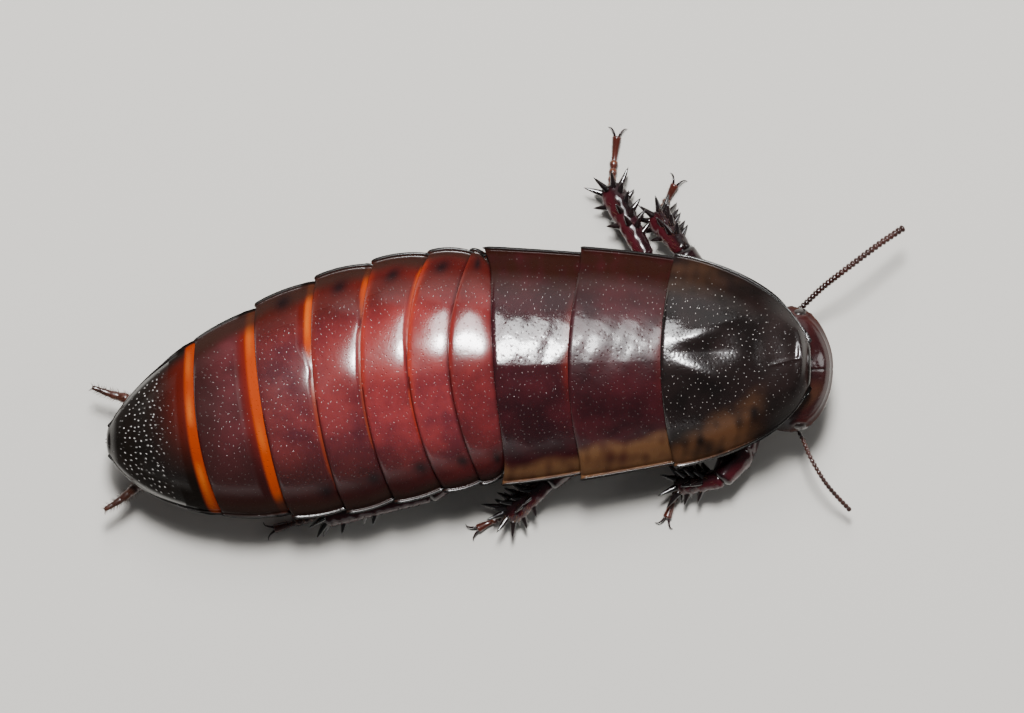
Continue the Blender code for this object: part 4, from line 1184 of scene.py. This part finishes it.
def leg_thorns(path, size, flat, thorn_rows, longest, radius, seed):
    """Stout thorns in rows along a limb. Those past nine tenths of it are spurs, longer and leaning more."""
    draw = np.random.default_rng(seed)
    turn, place = np.array([(turn, place) for turn, places in thorn_rows for place in places]).T
    count = len(turn)
    turn = np.radians(turn + draw.uniform(-6, 6, count))[:, None]
    place = place + draw.uniform(-0.015, 0.015, count)
    row = (place * (len(path) - 1)).astype(int)
    spur = (place > 0.9)[:, None]
    out, ahead = off_skin(path, row, turn)
    skin = size[row][:, None] * np.hypot(np.cos(turn), flat * np.sin(turn))
    roots = path[row] + out * skin * 0.7
    reach = longest * np.where(spur, 1.0, 0.76) * draw.uniform(0.85, 1.2, count)[:, None]
    tips = roots + out * (reach + skin * 0.3) * 0.9 + ahead * reach * np.where(spur, 0.85, 0.55)
    tips[:, 2] = np.maximum(tips[:, 2], 0.03)
    return spikes(roots, tips, radius, sag=0.03, sides=10, cuts=6, taper=0.75)


def build_foot(name, shin_end, claw_end):
    """A foot of five joints and two claws.

    A short joint's radius swells as a + b sin(0.75 pi f)^1.2, and the long last one flares as a + b f^1.3.
    """
    points = [mix((shin_end, claw_end), share) for share in (-0.06, 0.3, 0.62, 1.0)]
    for point, height in zip(points, FOOT_HEIGHTS):
        point[2] = height
    path, at, blunt = route(points, 0.02, 0.07)
    f, joint = joint_places(at / at[-1], FOOT_JOINTS)
    last = joint > 0.99
    size = np.where(last, 0.095 + 0.085 * f ** 1.3, 0.085 + 0.07 * np.sin(np.pi * f * 0.75) ** 1.2) * blunt
    grid = rings(path, size, size * 0.9, 24)
    grid[..., 2] = np.maximum(grid[..., 2], 0.004)
    put(name + "_tarsus", [tube(grid, tip=bell(f - 0.85, 0.2) * ~last * 0.5)], FOOT_CUTICLE, "foot")
    ahead = scaled((claw_end - shin_end) * (1, 1, 0))
    across = np.array((-ahead[1], ahead[0], 0))
    claws = []
    for side, _ in SIDES:
        hook = [path[-1] + ahead * far + across * side * out + (0, 0, up) for far, out, up in CLAW_ROUTE]
        line, run, blunt = route(hook, 0.02, 0.02)
        radius = CLAW_RADIUS * (1 - 0.85 * run / run[-1]) * blunt
        claw = rings(line, radius, radius, 12)
        claw[..., 2] = np.maximum(claw[..., 2], 0.002)
        claws.append(tube(claw))
    put(name + "_claws", claws, LEG_CUTICLE, "foot")
    hairs = bristles(path, size, 130, length=0.11, lean=45, seed=4, share=(0.03, 0.9))
    put(name + "_foot_hairs", [hairs], HAIR, "foot")


def build_legs():
    """Six legs, each of a coxa, a trochanter, a femur, a thorny tibia, a foot, claws and bristles."""
    for seed, (place, joints) in enumerate(LEGS.items()):
        name = "leg_" + place
        root, hip, knee, shin_end, claw_end = np.array(joints, float)
        _, u, _, grid = limb(root, hip, COXA_SIZES, COXA_FLAT, sides=36)
        put(name + "_coxa", [tube(grid, tip=ease(u, 0.85, 1.0))], LEG_CUTICLE, "leg")
        start, end = mix((hip, knee), 0.06) - (0, 0, 0.02), mix((hip, knee), 0.16)
        *_, knob = limb(start, end, KNOB_SIZES, 1.0, overlap=0.16)
        path, u, size, grid = limb(hip, knee, FEMUR_SIZES, FEMUR_FLAT, bow=0.06)
        put(name + "_femur", [leg_tube(grid, ease(u, 0.9, 1.0)), tube(knob)], LEG_CUTICLE, "leg")
        thorns = [leg_thorns(path, size, FEMUR_FLAT, FEMUR_THORN_ROWS, *FEMUR_THORN, 50 + seed)]
        hairs = [bristles(path, size, 70, length=0.14, lean=40, seed=seed)]
        path, u, size, grid = limb(knee, shin_end, SHIN_SIZES, SHIN_FLAT, bow=0.05)
        put(name + "_tibia", [leg_tube(grid, ease(u, 0.85, 1.0))], LEG_CUTICLE, "leg")
        thorns.append(leg_thorns(path, size, SHIN_FLAT, SHIN_THORN_ROWS, *SHIN_THORN, 90 + seed))
        put(name + "_thorns", thorns, THORN_CUTICLE, "leg")
        hairs.append(bristles(path, size, 110, length=0.18, lean=45, seed=20 + seed))
        put(name + "_hairs", hairs, HAIR, "leg")
        build_foot(name, shin_end, claw_end)


def light(name, place, power, wide, tall):
    """A soft oval lamp at place, in millimetres, aimed at the animal. Wide and tall are the oval's axes."""
    lamp = bpy.data.lights.new(name, "AREA")
    lamp.shape = "ELLIPSE"
    lamp.energy = power
    lamp.size = wide * MM
    lamp.size_y = tall * MM
    holder = linked(name, lamp)
    holder.location = (np.array(place) + ORIGIN) * MM
    aim = np.array((0, 0, 3)) - place
    lean = math.atan2(math.hypot(aim[0], aim[1]), -aim[2])
    holder.rotation_euler = (lean, 0, math.atan2(-aim[0], aim[1]))


def build_stage():
    """A pale floor, a dim pale sky, a main lamp and a soft box to the animal's left, and three weak fills."""
    mesh = bpy.data.meshes.new("floor")
    mesh.from_pydata([(-1, -1, 0), (1, -1, 0), (1, 1, 0), (-1, 1, 0)], [], [(0, 1, 2, 3)])
    floor = linked("floor", mesh)
    paint = bpy.data.materials.new("pale floor")
    paint.use_nodes = True
    shader = paint.node_tree.nodes["Principled BSDF"]
    shader.inputs["Base Color"].default_value = hexcolour("#BDBAB4")
    shader.inputs["Roughness"].default_value = 0.7
    mesh.materials.append(paint)
    world = bpy.data.worlds.new("studio")
    world.use_nodes = True
    sky = world.node_tree.nodes["Background"]
    sky.inputs["Color"].default_value = hexcolour("#E4E6EA")
    sky.inputs["Strength"].default_value = 0.13
    bpy.context.scene.world = world
    light("main lamp", (0, 108, 268), power=1.3, wide=50, tall=62)
    light("soft box", (0, 150, 252), power=0.85, wide=85, tall=200)
    light("front fill", (330, 60, 150), power=0.2, wide=130, tall=130)
    light("left fill", (40, 330, 110), power=0.12, wide=320, tall=180)
    light("right fill", (-60, -330, 50), power=0.05, wide=260, tall=80)


def build_camera():
    """A camera straight above the middle of the photo's frame, its lens long enough for the photo's scale."""
    camera = bpy.data.cameras.new("camera")
    camera.sensor_width = 36.0
    camera.lens = camera.sensor_width * CAMERA_DISTANCE / (PHOTO_SIZE[0] * PIXEL)
    camera.clip_start = 0.005
    camera.clip_end = 5.0
    holder = linked("camera", camera)
    centre = ((PHOTO_SIZE[0] / 2 - PHOTO_ZERO[0]) * PIXEL, (PHOTO_ZERO[1] - PHOTO_SIZE[1] / 2) * PIXEL)
    holder.location = (np.array((*centre, PHOTO_LEVEL + CAMERA_DISTANCE)) + ORIGIN) * MM
    bpy.context.scene.camera = holder


build_hood()
build_back()
build_tail()
build_core()
build_belly()
build_head()
build_mouth()
build_feelers()
build_cerci()
build_legs()
build_stage()
build_camera()
